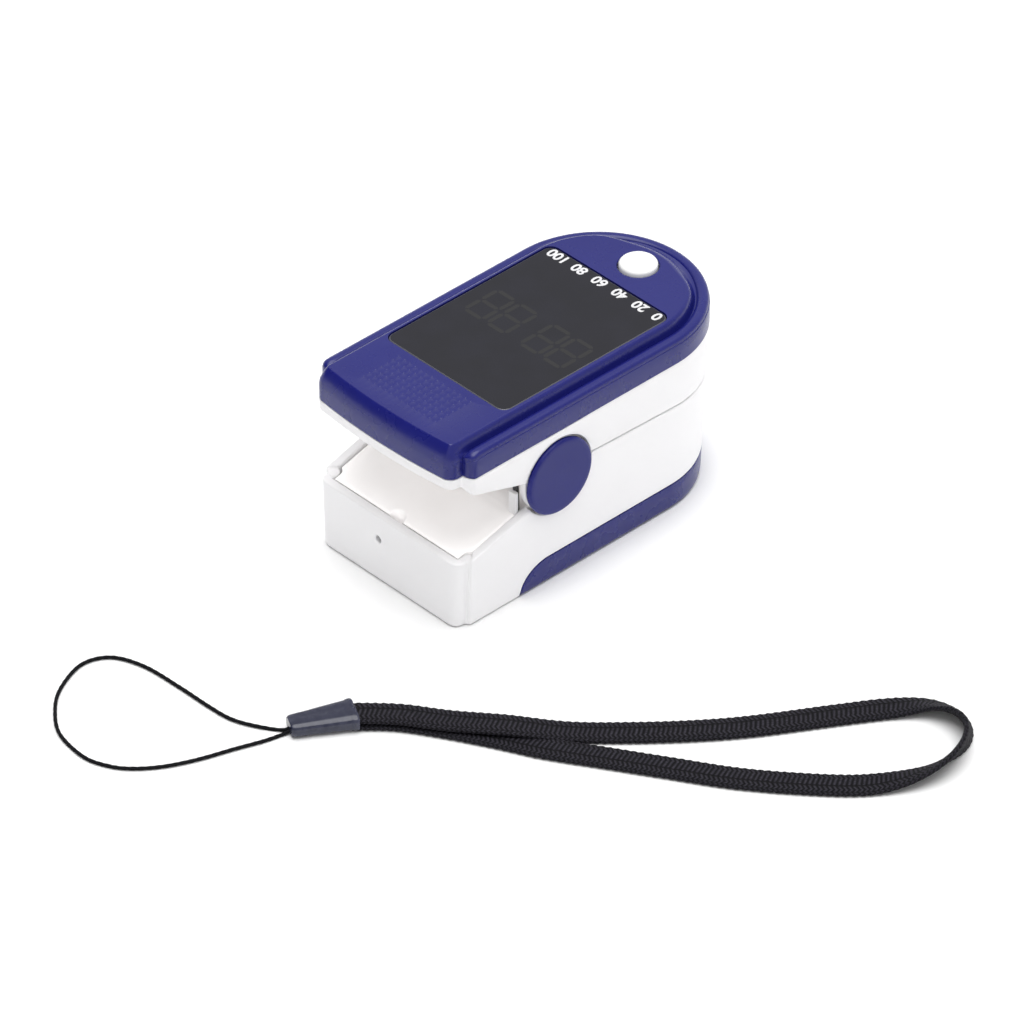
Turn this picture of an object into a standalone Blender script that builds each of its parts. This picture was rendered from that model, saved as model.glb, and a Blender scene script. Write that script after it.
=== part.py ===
"""Fingertip pulse oximeter with its loose wrist lanyard.

A clip in two hinged halves.  The lower half holds two AAA cells, the detector and the
finger pad; the upper half holds the display, the main board, the push button and the
emitter.  All driving sizes are in millimetres; the helpers turn them into metres.
+Z is up, -Y is the mouth where the finger goes in, +X is the user's side.
"""
from math import asin, atan2, cos, degrees, pi, radians, sin

import bmesh
import bpy
from mathutils import Matrix, Vector

MM = 0.001
GAP = 0.3                       # space left between neighbouring pieces

# ---- case, driving sizes -------------------------------------------------------------
HALF_WIDTH = 16.0               # half of the case's width under the blue cover
FOOT_HALF_WIDTH = 15.0          # the same at the table
REAR_CENTRE = 13.6              # centre of the half round rear end, along Y
WALL = 1.5
PART_LINE = 27.1                # underside of the blue top cover
TOP = 32.4                      # plateau of the top cover
RIM_TOP = 31.2
PLATEAU_INSET = 2.4             # the plateau's edge keeps this far inside the case's sides
SEAM_FRONT, SEAM_REAR = 19.57, 18.35    # rear seam's height by the hinge and at the end
SEAM_REAR_Y = 29.6

UPPER_FRONT, UPPER_SHOULDER, UPPER_NOSE = -29.5, -27.0, 14.2
UPPER_BOW = 0.7                 # how far the middle of the upper half's front stands out
LOWER_FRONT, LOWER_SHOULDER, LOWER_NOSE = -28.65, -26.7, 15.2
CORNER = 1.7                    # radius of the front corners
SHOULDER_ROUND = 0.8
SHOULDER_DRAFT = 0.15           # the shoulders lean back by this much

# ---- mouth ---------------------------------------------------------------------------
MOUTH_Y = -15.9                 # where the mouth's edges meet the hinge
SILL = 11.7                     # lower lip at the front
SILL_SHOULDER, SILL_BACK = 12.0, 15.0
LIP = 25.2                      # upper lip at the front
LIP_SHOULDER, LIP_BACK = 24.3, 20.6

# ---- hinge ---------------------------------------------------------------------------
PIVOT_Y, PIVOT_Z = -9.7, 19.0
EAR_RADIUS, NOTCH_RADIUS = 6.1, 6.5
CAP_RADIUS = 6.2
CAP_INNER, CAP_OUTER = 15.5, 16.35
PIN_RADIUS, PIN_BORE = 1.2, 1.5
PIN_INNER, PIN_OUTER = 10.4, 15.1
ARM_INNER, ARM_OUTER = 10.6, 12.1
ARM_ROUND = 3.3
SPRING_RADIUS, SPRING_WIRE = 2.2, 0.2
SPRING_INNER = 12.5
SPRING_PITCH, SPRING_LEG = 0.5, 7.4

# ---- finger pads and their sensors ---------------------------------------------------
PAD_TOP, PAD_THICK = 14.4, 1.4
ROOF, ROOF_THICK = 22.3, 1.6    # underside of the upper pad
PAD_REAR = 6.5
TROUGH_RADIUS, TROUGH_DEPTH = 20.0, 0.8
SENSOR_Y = -6.0
PAD_INSET = 1.9                 # pads keep this far inside the case's outline

# ---- batteries and their cover -------------------------------------------------------
CELL_RADIUS, CELL_LENGTH, CELL_NUB = 5.15, 43.0, 0.8
CELL_X, CELL_Z = 5.55, 6.4
CELL_FRONT = -21.9
COVER_FLOOR, COVER_SIDE = 0.9, 1.2
COVER_TOP = 4.55
COVER_FRONT_LOW, COVER_FRONT_HIGH = -16.45, -10.8

# ---- chassis and decks ---------------------------------------------------------------
TRAY_LOW, TRAY_HIGH = 11.85, 12.65
DECK_LOW, DECK_HIGH = 25.5, 26.5
UPPER_TRAY_LOW, UPPER_TRAY_HIGH = 24.2, 25.2
BOARD_LOW, BOARD_HIGH = 26.9, 27.7

# ---- window, display and button ------------------------------------------------------
WINDOW_HALF, WINDOW_FRONT, WINDOW_REAR = 12.48, -17.4, 15.8
WINDOW_ROUND = 1.6
WINDOW_LOW, WINDOW_HIGH = 31.25, 32.3
BUTTON_Y, BUTTON_RADIUS, BUTTON_TOP = 21.4, 2.9, 33.2

# ---- screws --------------------------------------------------------------------------
CASE_SCREWS = ((-10.3, -20.5), (10.3, -20.5), (-8.5, 20.5), (8.5, 20.5))
TRAY_SCREWS = ((-4.0, 25.4), (4.0, 25.4))
SCREW_HEAD, SCREW_SHANK = 1.3, 0.5

# ---- cables that cross the hinge -----------------------------------------------------
CABLE_X, CABLE_Y, CABLE_RADIUS = 13.05, -15.4, 0.45

# ---- lanyard, laid out in front of the clip ------------------------------------------
STRING_RADIUS = 0.3
STRING_ROUTE = (
    (14.4, -61.8), (11.1, -64.0), (7.3, -65.6), (2.9, -66.0), (-3.3, -66.1), (-10.2, -66.6),
    (-15.0, -68.7), (-16.6, -72.9), (-14.5, -78.6), (-11.3, -82.4), (-6.8, -85.4),
    (-0.7, -86.3), (3.4, -85.0), (6.1, -82.9), (8.6, -79.6), (10.8, -75.0), (12.6, -69.7),
    (14.1, -65.6), (14.9, -62.4),
)
STRAP_WIDTH, STRAP_THICK = 4.4, 1.0
STRAP_STEP = 1.25               # how much higher the upper run of the strap lies
STRAP_ROUTE = (
    (19.9, -53.3, 1), (24.2, -48.8, 1), (29.7, -44.6, 1), (36.2, -39.3, 1), (42.3, -33.3, 0),
    (48.5, -27.0, 0), (54.6, -19.9, 0), (59.5, -13.2, 0), (65.8, -3.0, 0), (70.1, 3.6, 0),
    (73.8, 7.4, 0), (78.0, 8.4, 0), (81.7, 6.9, 0), (84.0, 3.6, 0), (84.5, -1.1, 0),
    (82.8, -6.2, 0), (78.8, -12.1, 0), (72.6, -18.0, 0), (65.7, -23.5, 0), (58.2, -28.3, 0),
    (50.6, -33.1, 0), (43.0, -37.9, 0), (37.2, -41.2, 0), (30.3, -45.4, 0), (24.2, -49.4, 0),
    (20.2, -53.6, 0),
)
FERRULE_FRONT, FERRULE_REAR = (14.9, -61.5), (19.4, -53.9)
FERRULE_SMALL, FERRULE_LARGE = (3.6, 2.1), (5.6, 2.6)

COLOURS = {
    "white_shell": ((0.88, 0.87, 0.88), 0.35, 0.0),
    "blue_shell": ((0.055, 0.06, 0.25), 0.3, 0.0),
    "pad_rubber": ((0.78, 0.76, 0.75), 0.6, 0.0),
    "smoked_window": ((0.04, 0.04, 0.05), 0.12, 0.0),
    "button_white": ((0.92, 0.93, 0.9), 0.3, 0.0),
    "spring_steel": ((0.6, 0.6, 0.62), 0.3, 1.0),
    "nickel": ((0.7, 0.68, 0.63), 0.3, 1.0),
    "board_green": ((0.02, 0.16, 0.07), 0.4, 0.0),
    "chip_black": ((0.02, 0.02, 0.02), 0.4, 0.0),
    "cell_jacket": ((0.35, 0.28, 0.1), 0.35, 0.2),
    "clear_lens": ((0.5, 0.1, 0.1), 0.1, 0.0),
    "cable_black": ((0.015, 0.015, 0.015), 0.5, 0.0),
    "strap_black": ((0.02, 0.02, 0.025), 0.8, 0.0),
    "ferrule_vinyl": ((0.1, 0.11, 0.16), 0.25, 0.0),
}


# ======================================================================================
# scene helpers
# ======================================================================================
def clear_scene():
    """Remove whatever objects the file holds."""
    for obj in list(bpy.data.objects):
        bpy.data.objects.remove(obj, do_unlink=True)


def new_collection(name):
    """Make a collection in the scene and return it."""
    collection = bpy.data.collections.new(name)
    bpy.context.scene.collection.children.link(collection)
    return collection


def make_materials():
    """One Principled material for each finish."""
    materials = {}
    for name, (colour, roughness, metallic) in COLOURS.items():
        material = bpy.data.materials.new(name)
        material.use_nodes = True
        shader = material.node_tree.nodes["Principled BSDF"]
        shader.inputs["Base Color"].default_value = (*colour, 1.0)
        shader.inputs["Roughness"].default_value = roughness
        shader.inputs["Metallic"].default_value = metallic
        materials[name] = material
    return materials


clear_scene()
PARTS = new_collection("pulse_oximeter")
TOOLS = new_collection("cutters")
MATERIALS = make_materials()


def finish(obj, finish_name, joint=None, smooth=False):
    """Put a solid among the parts, give it its finish and hang it on its joint."""
    for collection in list(obj.users_collection):
        collection.objects.unlink(obj)
    PARTS.objects.link(obj)
    obj.data.materials.clear()
    obj.data.materials.append(MATERIALS[finish_name])
    if smooth:
        obj.data.shade_smooth()
        obj.data.set_sharp_from_angle(angle=radians(40))
    if joint is not None:
        obj.parent = joint
        obj.matrix_parent_inverse = Matrix.Translation(joint.location).inverted()
    return obj


def joint_empty(name, place):
    """An empty on a joint's axis, for the pieces that move about it."""
    empty = bpy.data.objects.new(name, None)
    empty.location = Vector(place) * MM
    PARTS.objects.link(empty)
    return empty


def mesh_object(name, bm):
    """Turn a bmesh in millimetres into an object in metres."""
    bmesh.ops.scale(bm, vec=(MM, MM, MM), verts=bm.verts)
    mesh = bpy.data.meshes.new(name)
    bm.to_mesh(mesh)
    bm.free()
    obj = bpy.data.objects.new(name, mesh)
    TOOLS.objects.link(obj)
    return obj


def as_tool(obj):
    """Keep a cutter out of the model."""
    obj.hide_render = True
    obj.display_type = "WIRE"
    return obj


def combine(target, tool, operation):
    """Cut a tool from a target, join it on, or keep what they share."""
    modifier = target.modifiers.new(tool.name, "BOOLEAN")
    modifier.operation = operation
    modifier.solver = "EXACT"
    modifier.object = as_tool(tool)


def cut(target, *tools):
    for tool in tools:
        combine(target, tool, "DIFFERENCE")


def join(target, *tools):
    for tool in tools:
        combine(target, tool, "UNION")


def keep_shared(target, *tools):
    for tool in tools:
        combine(target, tool, "INTERSECT")


# ======================================================================================
# shapes
# ======================================================================================
def arc(centre_u, centre_v, radius, start, end, steps):
    """Points on an arc between two angles in degrees, both ends included."""
    angles = [radians(start + (end - start) * i / steps) for i in range(steps + 1)]
    return [(centre_u + radius * cos(a), centre_v + radius * sin(a)) for a in angles]


def box(name, low, high):
    """A block between two corners."""
    bm = bmesh.new()
    bmesh.ops.create_cube(bm, size=1.0)
    size = [b - a for a, b in zip(low, high)]
    centre = [(a + b) / 2 for a, b in zip(low, high)]
    bmesh.ops.scale(bm, vec=size, verts=bm.verts)
    bmesh.ops.translate(bm, vec=centre, verts=bm.verts)
    return mesh_object(name, bm)


def rod(name, axis, place, low, high, radius, end_radius=None, segments=16):
    """A cylinder or cone along an axis from low to high, its centre line through place."""
    bm = bmesh.new()
    end_radius = radius if end_radius is None else end_radius
    bmesh.ops.create_cone(bm, cap_ends=True, segments=segments, radius1=radius,
                          radius2=end_radius, depth=high - low)
    turn = {"X": Matrix.Rotation(pi / 2, 3, "Y"), "Z": Matrix.Identity(3),
            "Y": Matrix.Rotation(-pi / 2, 3, "X")}[axis]
    bmesh.ops.rotate(bm, matrix=turn, verts=bm.verts)
    centre = {"X": ((low + high) / 2, *place), "Y": (place[0], (low + high) / 2, place[1]),
              "Z": (*place, (low + high) / 2)}[axis]
    bmesh.ops.translate(bm, vec=centre, verts=bm.verts)
    return mesh_object(name, bm)


def plate(name, outline, low, high):
    """A flat outline in XY given its thickness along Z, as a mesh."""
    curve = bpy.data.curves.new(name, "CURVE")
    curve.dimensions = "2D"
    curve.fill_mode = "BOTH"
    curve.extrude = (high - low) / 2 * MM
    spline = curve.splines.new("POLY")
    spline.points.add(len(outline) - 1)
    for point, (u, v) in zip(spline.points, outline):
        point.co = (u * MM, v * MM, 0.0, 1.0)
    spline.use_cyclic_u = True
    guide = bpy.data.objects.new(name + "_outline", curve)
    TOOLS.objects.link(guide)
    bpy.context.view_layer.update()
    evaluated = guide.evaluated_get(bpy.context.evaluated_depsgraph_get())
    mesh = bpy.data.meshes.new_from_object(evaluated)
    bpy.data.objects.remove(guide, do_unlink=True)
    bm = bmesh.new()
    bm.from_mesh(mesh)
    bmesh.ops.remove_doubles(bm, verts=bm.verts, dist=0.000002)
    bmesh.ops.recalc_face_normals(bm, faces=bm.faces)
    bmesh.ops.translate(bm, vec=(0, 0, (low + high) / 2 * MM), verts=bm.verts)
    bm.to_mesh(mesh)
    bm.free()
    obj = bpy.data.objects.new(name, mesh)
    TOOLS.objects.link(obj)
    return obj


def side_plate(name, outline, low=-30.0, high=30.0):
    """A flat outline in YZ given its thickness along X, as a mesh."""
    obj = plate(name, outline, low, high)
    turn = Matrix(((0, 0, 1), (1, 0, 0), (0, 1, 0))).to_4x4()
    obj.data.transform(turn)
    return obj


def taper(obj):
    """Draw the case in towards the table, as the walls of the real one lean."""
    for vertex in obj.data.vertices:
        height = vertex.co.z / MM
        share = min(height / PART_LINE, 1.0)
        scale = (FOOT_HALF_WIDTH + (HALF_WIDTH - FOOT_HALF_WIDTH) * share) / HALF_WIDTH
        vertex.co.x *= scale
        if vertex.co.y > REAR_CENTRE * MM:
            vertex.co.y = REAR_CENTRE * MM + (vertex.co.y - REAR_CENTRE * MM) * scale
    return obj


def bowed_front(half, front, bow):
    """Right half of a front edge that stands out in the middle."""
    shares = [i / 4 for i in range(4)]
    return [(half * share, front - bow * (1.0 - share ** 2)) for share in shares]


def case_outline(front, shoulder, nose, inset=0.0, bow=0.0):
    """Plan of the case: front, small shoulders, straight sides, half round rear."""
    side, nose, front, shoulder = HALF_WIDTH - inset, nose - inset, front + inset, shoulder + inset
    corner = max(CORNER - inset, 0.4)
    step = max(SHOULDER_ROUND - inset, 0.3)
    right = bowed_front(nose - corner, front, bow) if bow else []
    right += arc(nose - corner, front + corner, corner, -90, 0, 3)
    right.append((nose, shoulder))
    right += arc(side - step, shoulder + SHOULDER_DRAFT + step, step, -90, 0, 2)
    right += arc(0.0, REAR_CENTRE, side, 0, 90, 9)
    return right + [(-x, y) for x, y in reversed(right) if x > 0.001]


def upper_outline(inset=0.0):
    return case_outline(UPPER_FRONT, UPPER_SHOULDER, UPPER_NOSE, inset, UPPER_BOW)


def plateau_outline():
    """Plan of the raised plateau, which runs out to the bowed front."""
    side, front = HALF_WIDTH - PLATEAU_INSET, UPPER_FRONT + GAP
    right = bowed_front(side - CORNER, front, UPPER_BOW)
    right += arc(side - CORNER, front + CORNER, CORNER, -90, 0, 3)
    right += arc(0.0, REAR_CENTRE, side, 0, 90, 9)
    return right + [(-x, y) for x, y in reversed(right) if x > 0.001]


def lower_outline(inset=0.0):
    return case_outline(LOWER_FRONT, LOWER_SHOULDER, LOWER_NOSE, inset)


def tapered_plate(name, outline, low, high):
    return taper(plate(name, outline, low, high))


def seam_height(y):
    """Height of the rear seam, the lower half's edge, at a place along Y."""
    start = PIVOT_Y + EAR_RADIUS
    return SEAM_FRONT + (SEAM_REAR - SEAM_FRONT) * (y - start) / (SEAM_REAR_Y - start)


def lower_side_outline():
    """Side view of the lower shell: sill, mouth edge, hinge ear, seam, cover's cut-out."""
    sill_slope = (SILL_BACK - SILL_SHOULDER) / (MOUTH_Y - LOWER_SHOULDER)
    ear_low = -142.0
    ear_y = PIVOT_Y + EAR_RADIUS * cos(radians(ear_low))
    ear_edge = SILL_SHOULDER + sill_slope * (ear_y - LOWER_SHOULDER)
    ear_end = degrees(asin((seam_height(PIVOT_Y + EAR_RADIUS) - PIVOT_Z) / EAR_RADIUS))
    ear = arc(PIVOT_Y, PIVOT_Z, EAR_RADIUS, ear_low, ear_end - 360.0, 14)
    points = [(-40.0, -2.0), (-40.0, SILL), (LOWER_SHOULDER - 0.6, SILL),
              (LOWER_SHOULDER + 0.1, SILL_SHOULDER), (ear_y, ear_edge)]
    points += ear[1:]
    points += [(40.0, seam_height(40.0)), (40.0, COVER_TOP + GAP)]
    points += cover_front_edge(-GAP)
    return points + [(COVER_FRONT_LOW - GAP, -2.0)]


def cover_front_edge(shift):
    """The curved front edge of the battery cover in side view, from its top to the table."""
    rise = COVER_TOP - shift
    run = COVER_FRONT_HIGH - COVER_FRONT_LOW
    edge = []
    for i in range(7):
        angle = radians(90.0 * i / 6)
        edge.append((COVER_FRONT_HIGH + shift - run * sin(angle), rise * cos(angle)))
    return edge


def upper_side_cut():
    """Side view of all that lies under the upper shell's lower edge, to be cut away."""
    lip_slope = (LIP_BACK - LIP_SHOULDER) / (MOUTH_Y - UPPER_SHOULDER)
    notch_start = 166.0
    notch_y = PIVOT_Y + NOTCH_RADIUS * cos(radians(notch_start))
    lip_z = LIP_SHOULDER + lip_slope * (notch_y - UPPER_SHOULDER)
    rise = seam_height(PIVOT_Y + NOTCH_RADIUS) + GAP - PIVOT_Z
    notch_end = degrees(asin(rise / NOTCH_RADIUS))
    notch = arc(PIVOT_Y, PIVOT_Z, NOTCH_RADIUS, notch_start, notch_end, 14)
    return ([(-40.0, 5.0), (-40.0, LIP), (UPPER_SHOULDER - 0.4, LIP),
             (UPPER_SHOULDER + 0.1, LIP_SHOULDER), (notch_y, lip_z)] + notch[1:]
            + [(40.0, seam_height(40.0) + GAP), (40.0, 5.0)])


def smooth_route(route, count):
    """Evenly spaced points on a Catmull-Rom curve through a route's own points."""
    points = [Vector(p) for p in route]
    ends = [2 * points[0] - points[1]] + points + [2 * points[-1] - points[-2]]
    dense = []
    for p0, p1, p2, p3 in zip(ends, ends[1:], ends[2:], ends[3:]):
        for i in range(24):
            t = i / 24
            dense.append(0.5 * (2 * p1 + (p2 - p0) * t + (2 * p0 - 5 * p1 + 4 * p2 - p3) * t ** 2
                                + (3 * p1 - p0 - 3 * p2 + p3) * t ** 3))
    dense.append(points[-1])
    travelled = [0.0]
    for a, b in zip(dense, dense[1:]):
        travelled.append(travelled[-1] + (b - a).length)
    even, k = [], 0
    for i in range(count):
        target = travelled[-1] * i / (count - 1)
        while k < len(dense) - 2 and travelled[k + 1] < target:
            k += 1
        share = (target - travelled[k]) / (travelled[k + 1] - travelled[k])
        even.append(dense[k].lerp(dense[k + 1], min(share, 1.0)))
    return even


def wire_curve(name, points, radius, section=None):
    """A curve object through points, with a round wire or a given cross-section."""
    curve = bpy.data.curves.new(name, "CURVE")
    curve.dimensions = "3D"
    curve.twist_mode = "Z_UP" if section else "MINIMUM"
    spline = curve.splines.new("POLY")
    spline.points.add(len(points) - 1)
    for point, place in zip(spline.points, points):
        point.co = (*(Vector(place) * MM), 1.0)
    curve.use_fill_caps = True
    if section:
        curve.bevel_mode = "OBJECT"
        curve.bevel_object = section
    else:
        curve.bevel_depth = radius * MM
        curve.bevel_resolution = 2
    obj = bpy.data.objects.new(name, curve)
    TOOLS.objects.link(obj)
    return obj


# ======================================================================================
# lower half
# ======================================================================================
def lower_shell():
    """White lower shell with the front wall, the sill, the hinge ears and the rear wall."""
    shell = tapered_plate("lower_shell", lower_outline(), 0.0, 26.0)
    keep_shared(shell, side_plate("lower_side", lower_side_outline()))
    cut(shell, tapered_plate("lower_cavity", lower_outline(WALL), COVER_FLOOR, 27.0))
    for side in (-1, 1):
        low, high = sorted((side * 15.2, side * 20.0))
        cut(shell, rod(f"cap_pocket_{side}", "X", (PIVOT_Y, PIVOT_Z), low, high,
                       CAP_RADIUS + GAP, segments=32))
        low, high = sorted((side * 13.0, side * 17.0))
        cut(shell, rod(f"ear_bore_{side}", "X", (PIVOT_Y, PIVOT_Z), low, high, PIN_BORE))
    for i, (x, y) in enumerate(TRAY_SCREWS):
        join(shell, rod(f"tray_boss_{i}", "Z", (x, y), 5.0, 11.5, 1.5, segments=12),
             box(f"tray_boss_rib_{i}", (x - 0.6, y, 5.2), (x + 0.6, y + 2.3, 11.3)))
        cut(shell, rod(f"tray_pilot_{i}", "Z", (x, y), 7.0, 12.0, SCREW_SHANK + GAP, segments=12))
    cut(shell, rod("front_eyelet", "Y", (-2.0, 7.5), -31.0, -26.0, 0.6, segments=12))
    return finish(shell, "white_shell", smooth=True)


def lower_tray():
    """White chassis that carries the cells, their contacts, the detector and the pad."""
    tray = tapered_plate("lower_tray", lower_outline(PAD_INSET), TRAY_LOW, TRAY_HIGH)
    cut(tray, box("tray_front_trim", (-20, -40, 10), (20, -16.9, 14)))
    wall = [(-24.6, 1.7), (18.0, 1.7), (18.0, 12.0), (-16.9, 12.0), (-16.9, 10.9), (-24.6, 10.9)]
    for side in (-1, 1):
        low, high = sorted((side * 11.3, side * 12.3))
        join(tray, side_plate(f"tray_wall_{side}", wall, low, high))
    join(tray, box("tray_front_wall", (-12.0, -24.6, 1.7), (12.0, -23.9, 10.9)),
         box("tray_rear_wall", (-8.0, 22.9, 1.7), (8.0, 23.6, 12.0)))
    cut(tray, box("detector_seat", (-3.7, SENSOR_Y - 3.2, 11), (3.7, SENSOR_Y + 3.2, 14)))
    for side in (-1, 1):
        cut(tray, cable_notch(f"tray_notch_{side}", side, 11.0, 14.0))
    for i, (x, y) in enumerate(TRAY_SCREWS):
        cut(tray, rod(f"tray_hole_{i}", "Z", (x, y), 11.0, 14.0, SCREW_SHANK + GAP, segments=12))
    return finish(tray, "white_shell")


def cable_notch(name, side, low, high):
    """The slot in a pad's or a deck's edge that lets a cable pass."""
    near, far = sorted((side * (CABLE_X - 0.75), side * 18.0))
    return box(name, (near, CABLE_Y - 0.9, low), (far, CABLE_Y + 0.9, high))


def lower_pad():
    """Soft pad under the finger: slopes in from the sill, hollowed, with a fingertip stop."""
    side = [(-27.0, SILL - 0.25), (-16.0, PAD_TOP), (PAD_REAR, PAD_TOP), (PAD_REAR, 17.6),
            (PAD_REAR + 1.0, 17.6), (PAD_REAR + 1.0, PAD_TOP - PAD_THICK),
            (-17.2, PAD_TOP - PAD_THICK), (-27.0, 10.6)]
    pad = side_plate("lower_pad", side)
    keep_shared(pad, tapered_plate("lower_pad_plan", lower_outline(PAD_INSET), 9.0, 19.0))
    trough_z = PAD_TOP - TROUGH_DEPTH + TROUGH_RADIUS
    cut(pad, rod("lower_trough", "Y", (0.0, trough_z), -40.0, PAD_REAR - 0.6, TROUGH_RADIUS,
                 segments=96))
    cut(pad, box("pad_front_notch", (-1.3, -30.0, 9.0), (1.3, -25.6, 13.0)))
    cut(pad, box("detector_window", (-2.3, SENSOR_Y - 2.0, 12), (2.3, SENSOR_Y + 2.0, 15)))
    for side_sign in (-1, 1):
        cut(pad, cable_notch(f"lower_pad_notch_{side_sign}", side_sign, 12.0, 16.0))
    return finish(pad, "pad_rubber")


def battery(name, side, nub_forward):
    """One AAA cell: jacketed can with its positive nub."""
    rear = CELL_FRONT + CELL_LENGTH
    cell = rod(name, "Y", (side * CELL_X, CELL_Z), CELL_FRONT, rear, CELL_RADIUS, segments=24)
    low, high = ((CELL_FRONT - CELL_NUB, CELL_FRONT + 1.0) if nub_forward
                 else (rear - 1.0, rear + CELL_NUB))
    join(cell, rod(name + "_nub", "Y", (side * CELL_X, CELL_Z), low, high, 1.9))
    return finish(cell, "cell_jacket", smooth=True)


def bridge_contact():
    """Sprung plate at the front that joins the two cells."""
    plate_low, plate_high = CELL_FRONT - 1.7, CELL_FRONT - 1.4
    contact = box("battery_bridge_contact", (-9.5, plate_low, 2.6), (9.5, plate_high, 10.2))
    join(contact,
         rod("bridge_spring_side", "Y", (-CELL_X, CELL_Z), plate_low + 0.1, CELL_FRONT - GAP, 2.6,
             1.8, 12),
         rod("bridge_nub_side", "Y", (CELL_X, CELL_Z), plate_low + 0.1, plate_high + 0.3, 2.2,
             1.9, 12))
    return finish(contact, "nickel")


def positive_contact():
    """Flat contact at the rear for the left cell's nub."""
    low = CELL_FRONT + CELL_LENGTH + CELL_NUB + GAP
    contact = box("positive_contact_plate", (-8.2, low, 3.2), (-2.6, low + 0.3, 9.8))
    return finish(contact, "nickel")


def negative_spring():
    """Conical spring at the rear for the right cell's flat end."""
    turns, steps = 2.25, 12
    total = int(turns * steps)
    start = CELL_FRONT + CELL_LENGTH + GAP + 0.25
    points = []
    for i in range(total + 1):
        angle = 2 * pi * i / steps
        radius = 2.0 + 1.4 * i / total
        points.append((CELL_X + radius * cos(angle), start + 1.0 * i / total,
                       CELL_Z + radius * sin(angle)))
    return weld_wire("negative_contact_spring", points, 0.15)


def weld_wire(name, points, radius, finish_name="nickel", joint=None, section=None):
    """A wire as a closed mesh: the curve's tube with its end caps welded on."""
    guide = wire_curve(name, points, radius, section)
    bpy.context.view_layer.update()
    evaluated = guide.evaluated_get(bpy.context.evaluated_depsgraph_get())
    mesh = bpy.data.meshes.new_from_object(evaluated)
    bpy.data.objects.remove(guide, do_unlink=True)
    bm = bmesh.new()
    bm.from_mesh(mesh)
    bmesh.ops.remove_doubles(bm, verts=bm.verts, dist=0.000001)
    bmesh.ops.recalc_face_normals(bm, faces=bm.faces)
    bm.to_mesh(mesh)
    bm.free()
    obj = bpy.data.objects.new(name, mesh)
    TOOLS.objects.link(obj)
    return finish(obj, finish_name, joint, smooth=True)


def detector():
    """Board, photodiode and lens under the finger."""
    board = box("detector_board", (-3.3, SENSOR_Y - 2.8, 11.45), (3.3, SENSOR_Y + 2.8, 12.05))
    finish(board, "board_green")
    diode = box("photodiode", (-1.8, SENSOR_Y - 1.6, 12.35), (1.8, SENSOR_Y + 1.6, 12.9))
    finish(diode, "chip_black")
    lens = box("detector_lens", (-2.0, SENSOR_Y - 1.7, 13.2), (2.0, SENSOR_Y + 1.7, 13.55))
    finish(lens, "clear_lens")


def tray_screw(index, x, y):
    """Pan head screw that holds the chassis to the lower shell."""
    head_low = TRAY_HIGH + GAP
    screw = rod(f"tray_screw_{index}", "Z", (x, y), head_low, head_low + 0.7, SCREW_HEAD,
                segments=12)
    join(screw, rod(f"tray_screw_shank_{index}", "Z", (x, y), 8.0, head_low + 0.1, SCREW_SHANK,
                    segments=8))
    return finish(screw, "spring_steel")


def battery_cover(joint):
    """Blue cover under the cells: floor, side strips with swept front edges, rear wall."""
    cover = tapered_plate("battery_cover", lower_outline(), 0.0, COVER_TOP)
    outline = ([(40.0, COVER_TOP + 2.0), (COVER_FRONT_HIGH, COVER_TOP + 2.0)]
               + cover_front_edge(0.0) + [(COVER_FRONT_LOW, -2.0), (40.0, -2.0)])
    keep_shared(cover, side_plate("cover_side", outline))
    cut(cover, tapered_plate("cover_hollow", lower_outline(COVER_SIDE), COVER_FLOOR, 6.0))
    return finish(cover, "blue_shell", joint, smooth=True)


# ======================================================================================
# hinge
# ======================================================================================
def torsion_spring(name, side):
    """Coil about the hinge pin, its two legs reaching back to push the halves apart."""
    top, bottom = radians(53.0), radians(307.0 + 720.0)
    steps = 28
    coil = []
    for i in range(steps + 1):
        angle = top + (bottom - top) * i / steps
        x = side * (SPRING_INNER + SPRING_PITCH * (angle - top) / (2 * pi))
        coil.append(Vector((x, PIVOT_Y + SPRING_RADIUS * cos(angle),
                            PIVOT_Z + SPRING_RADIUS * sin(angle))))
    down = Vector((0.0, sin(top), -cos(top))) * SPRING_LEG
    up = Vector((0.0, -sin(bottom), cos(bottom))) * SPRING_LEG
    points = [coil[0] + down] + coil + [coil[-1] + up]
    return weld_wire(name, points, SPRING_WIRE, "spring_steel")


def hinge():
    """Pins, springs and the blue caps over them, one set on each side."""
    for name, side in (("left", -1), ("right", 1)):
        low, high = sorted((side * PIN_INNER, side * PIN_OUTER))
        pin = rod(f"hinge_pin_{name}", "X", (PIVOT_Y, PIVOT_Z), low, high, PIN_RADIUS)
        finish(pin, "spring_steel", smooth=True)
        torsion_spring(f"torsion_spring_{name}", side)
        low, high = sorted((side * CAP_INNER, side * CAP_OUTER))
        cap = rod(f"pivot_cap_{name}", "X", (PIVOT_Y, PIVOT_Z), low, high, CAP_RADIUS,
                  segments=40)
        finish(cap, "blue_shell", smooth=True)


def hinge_cable(name, side):
    """Cable from the chassis to the main board, just ahead of the hinge."""
    x, y = side * CABLE_X, CABLE_Y
    route = [(x, y, 8.0), (x, y, 12.0), (x, y - 0.1, 16.0), (x, y - 0.2, 19.0),
             (x, y - 0.1, 22.0), (x, y, 25.0), (x, y, BOARD_LOW - GAP)]
    return weld_wire(name, smooth_route(route, 16), CABLE_RADIUS, "cable_black")


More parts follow.
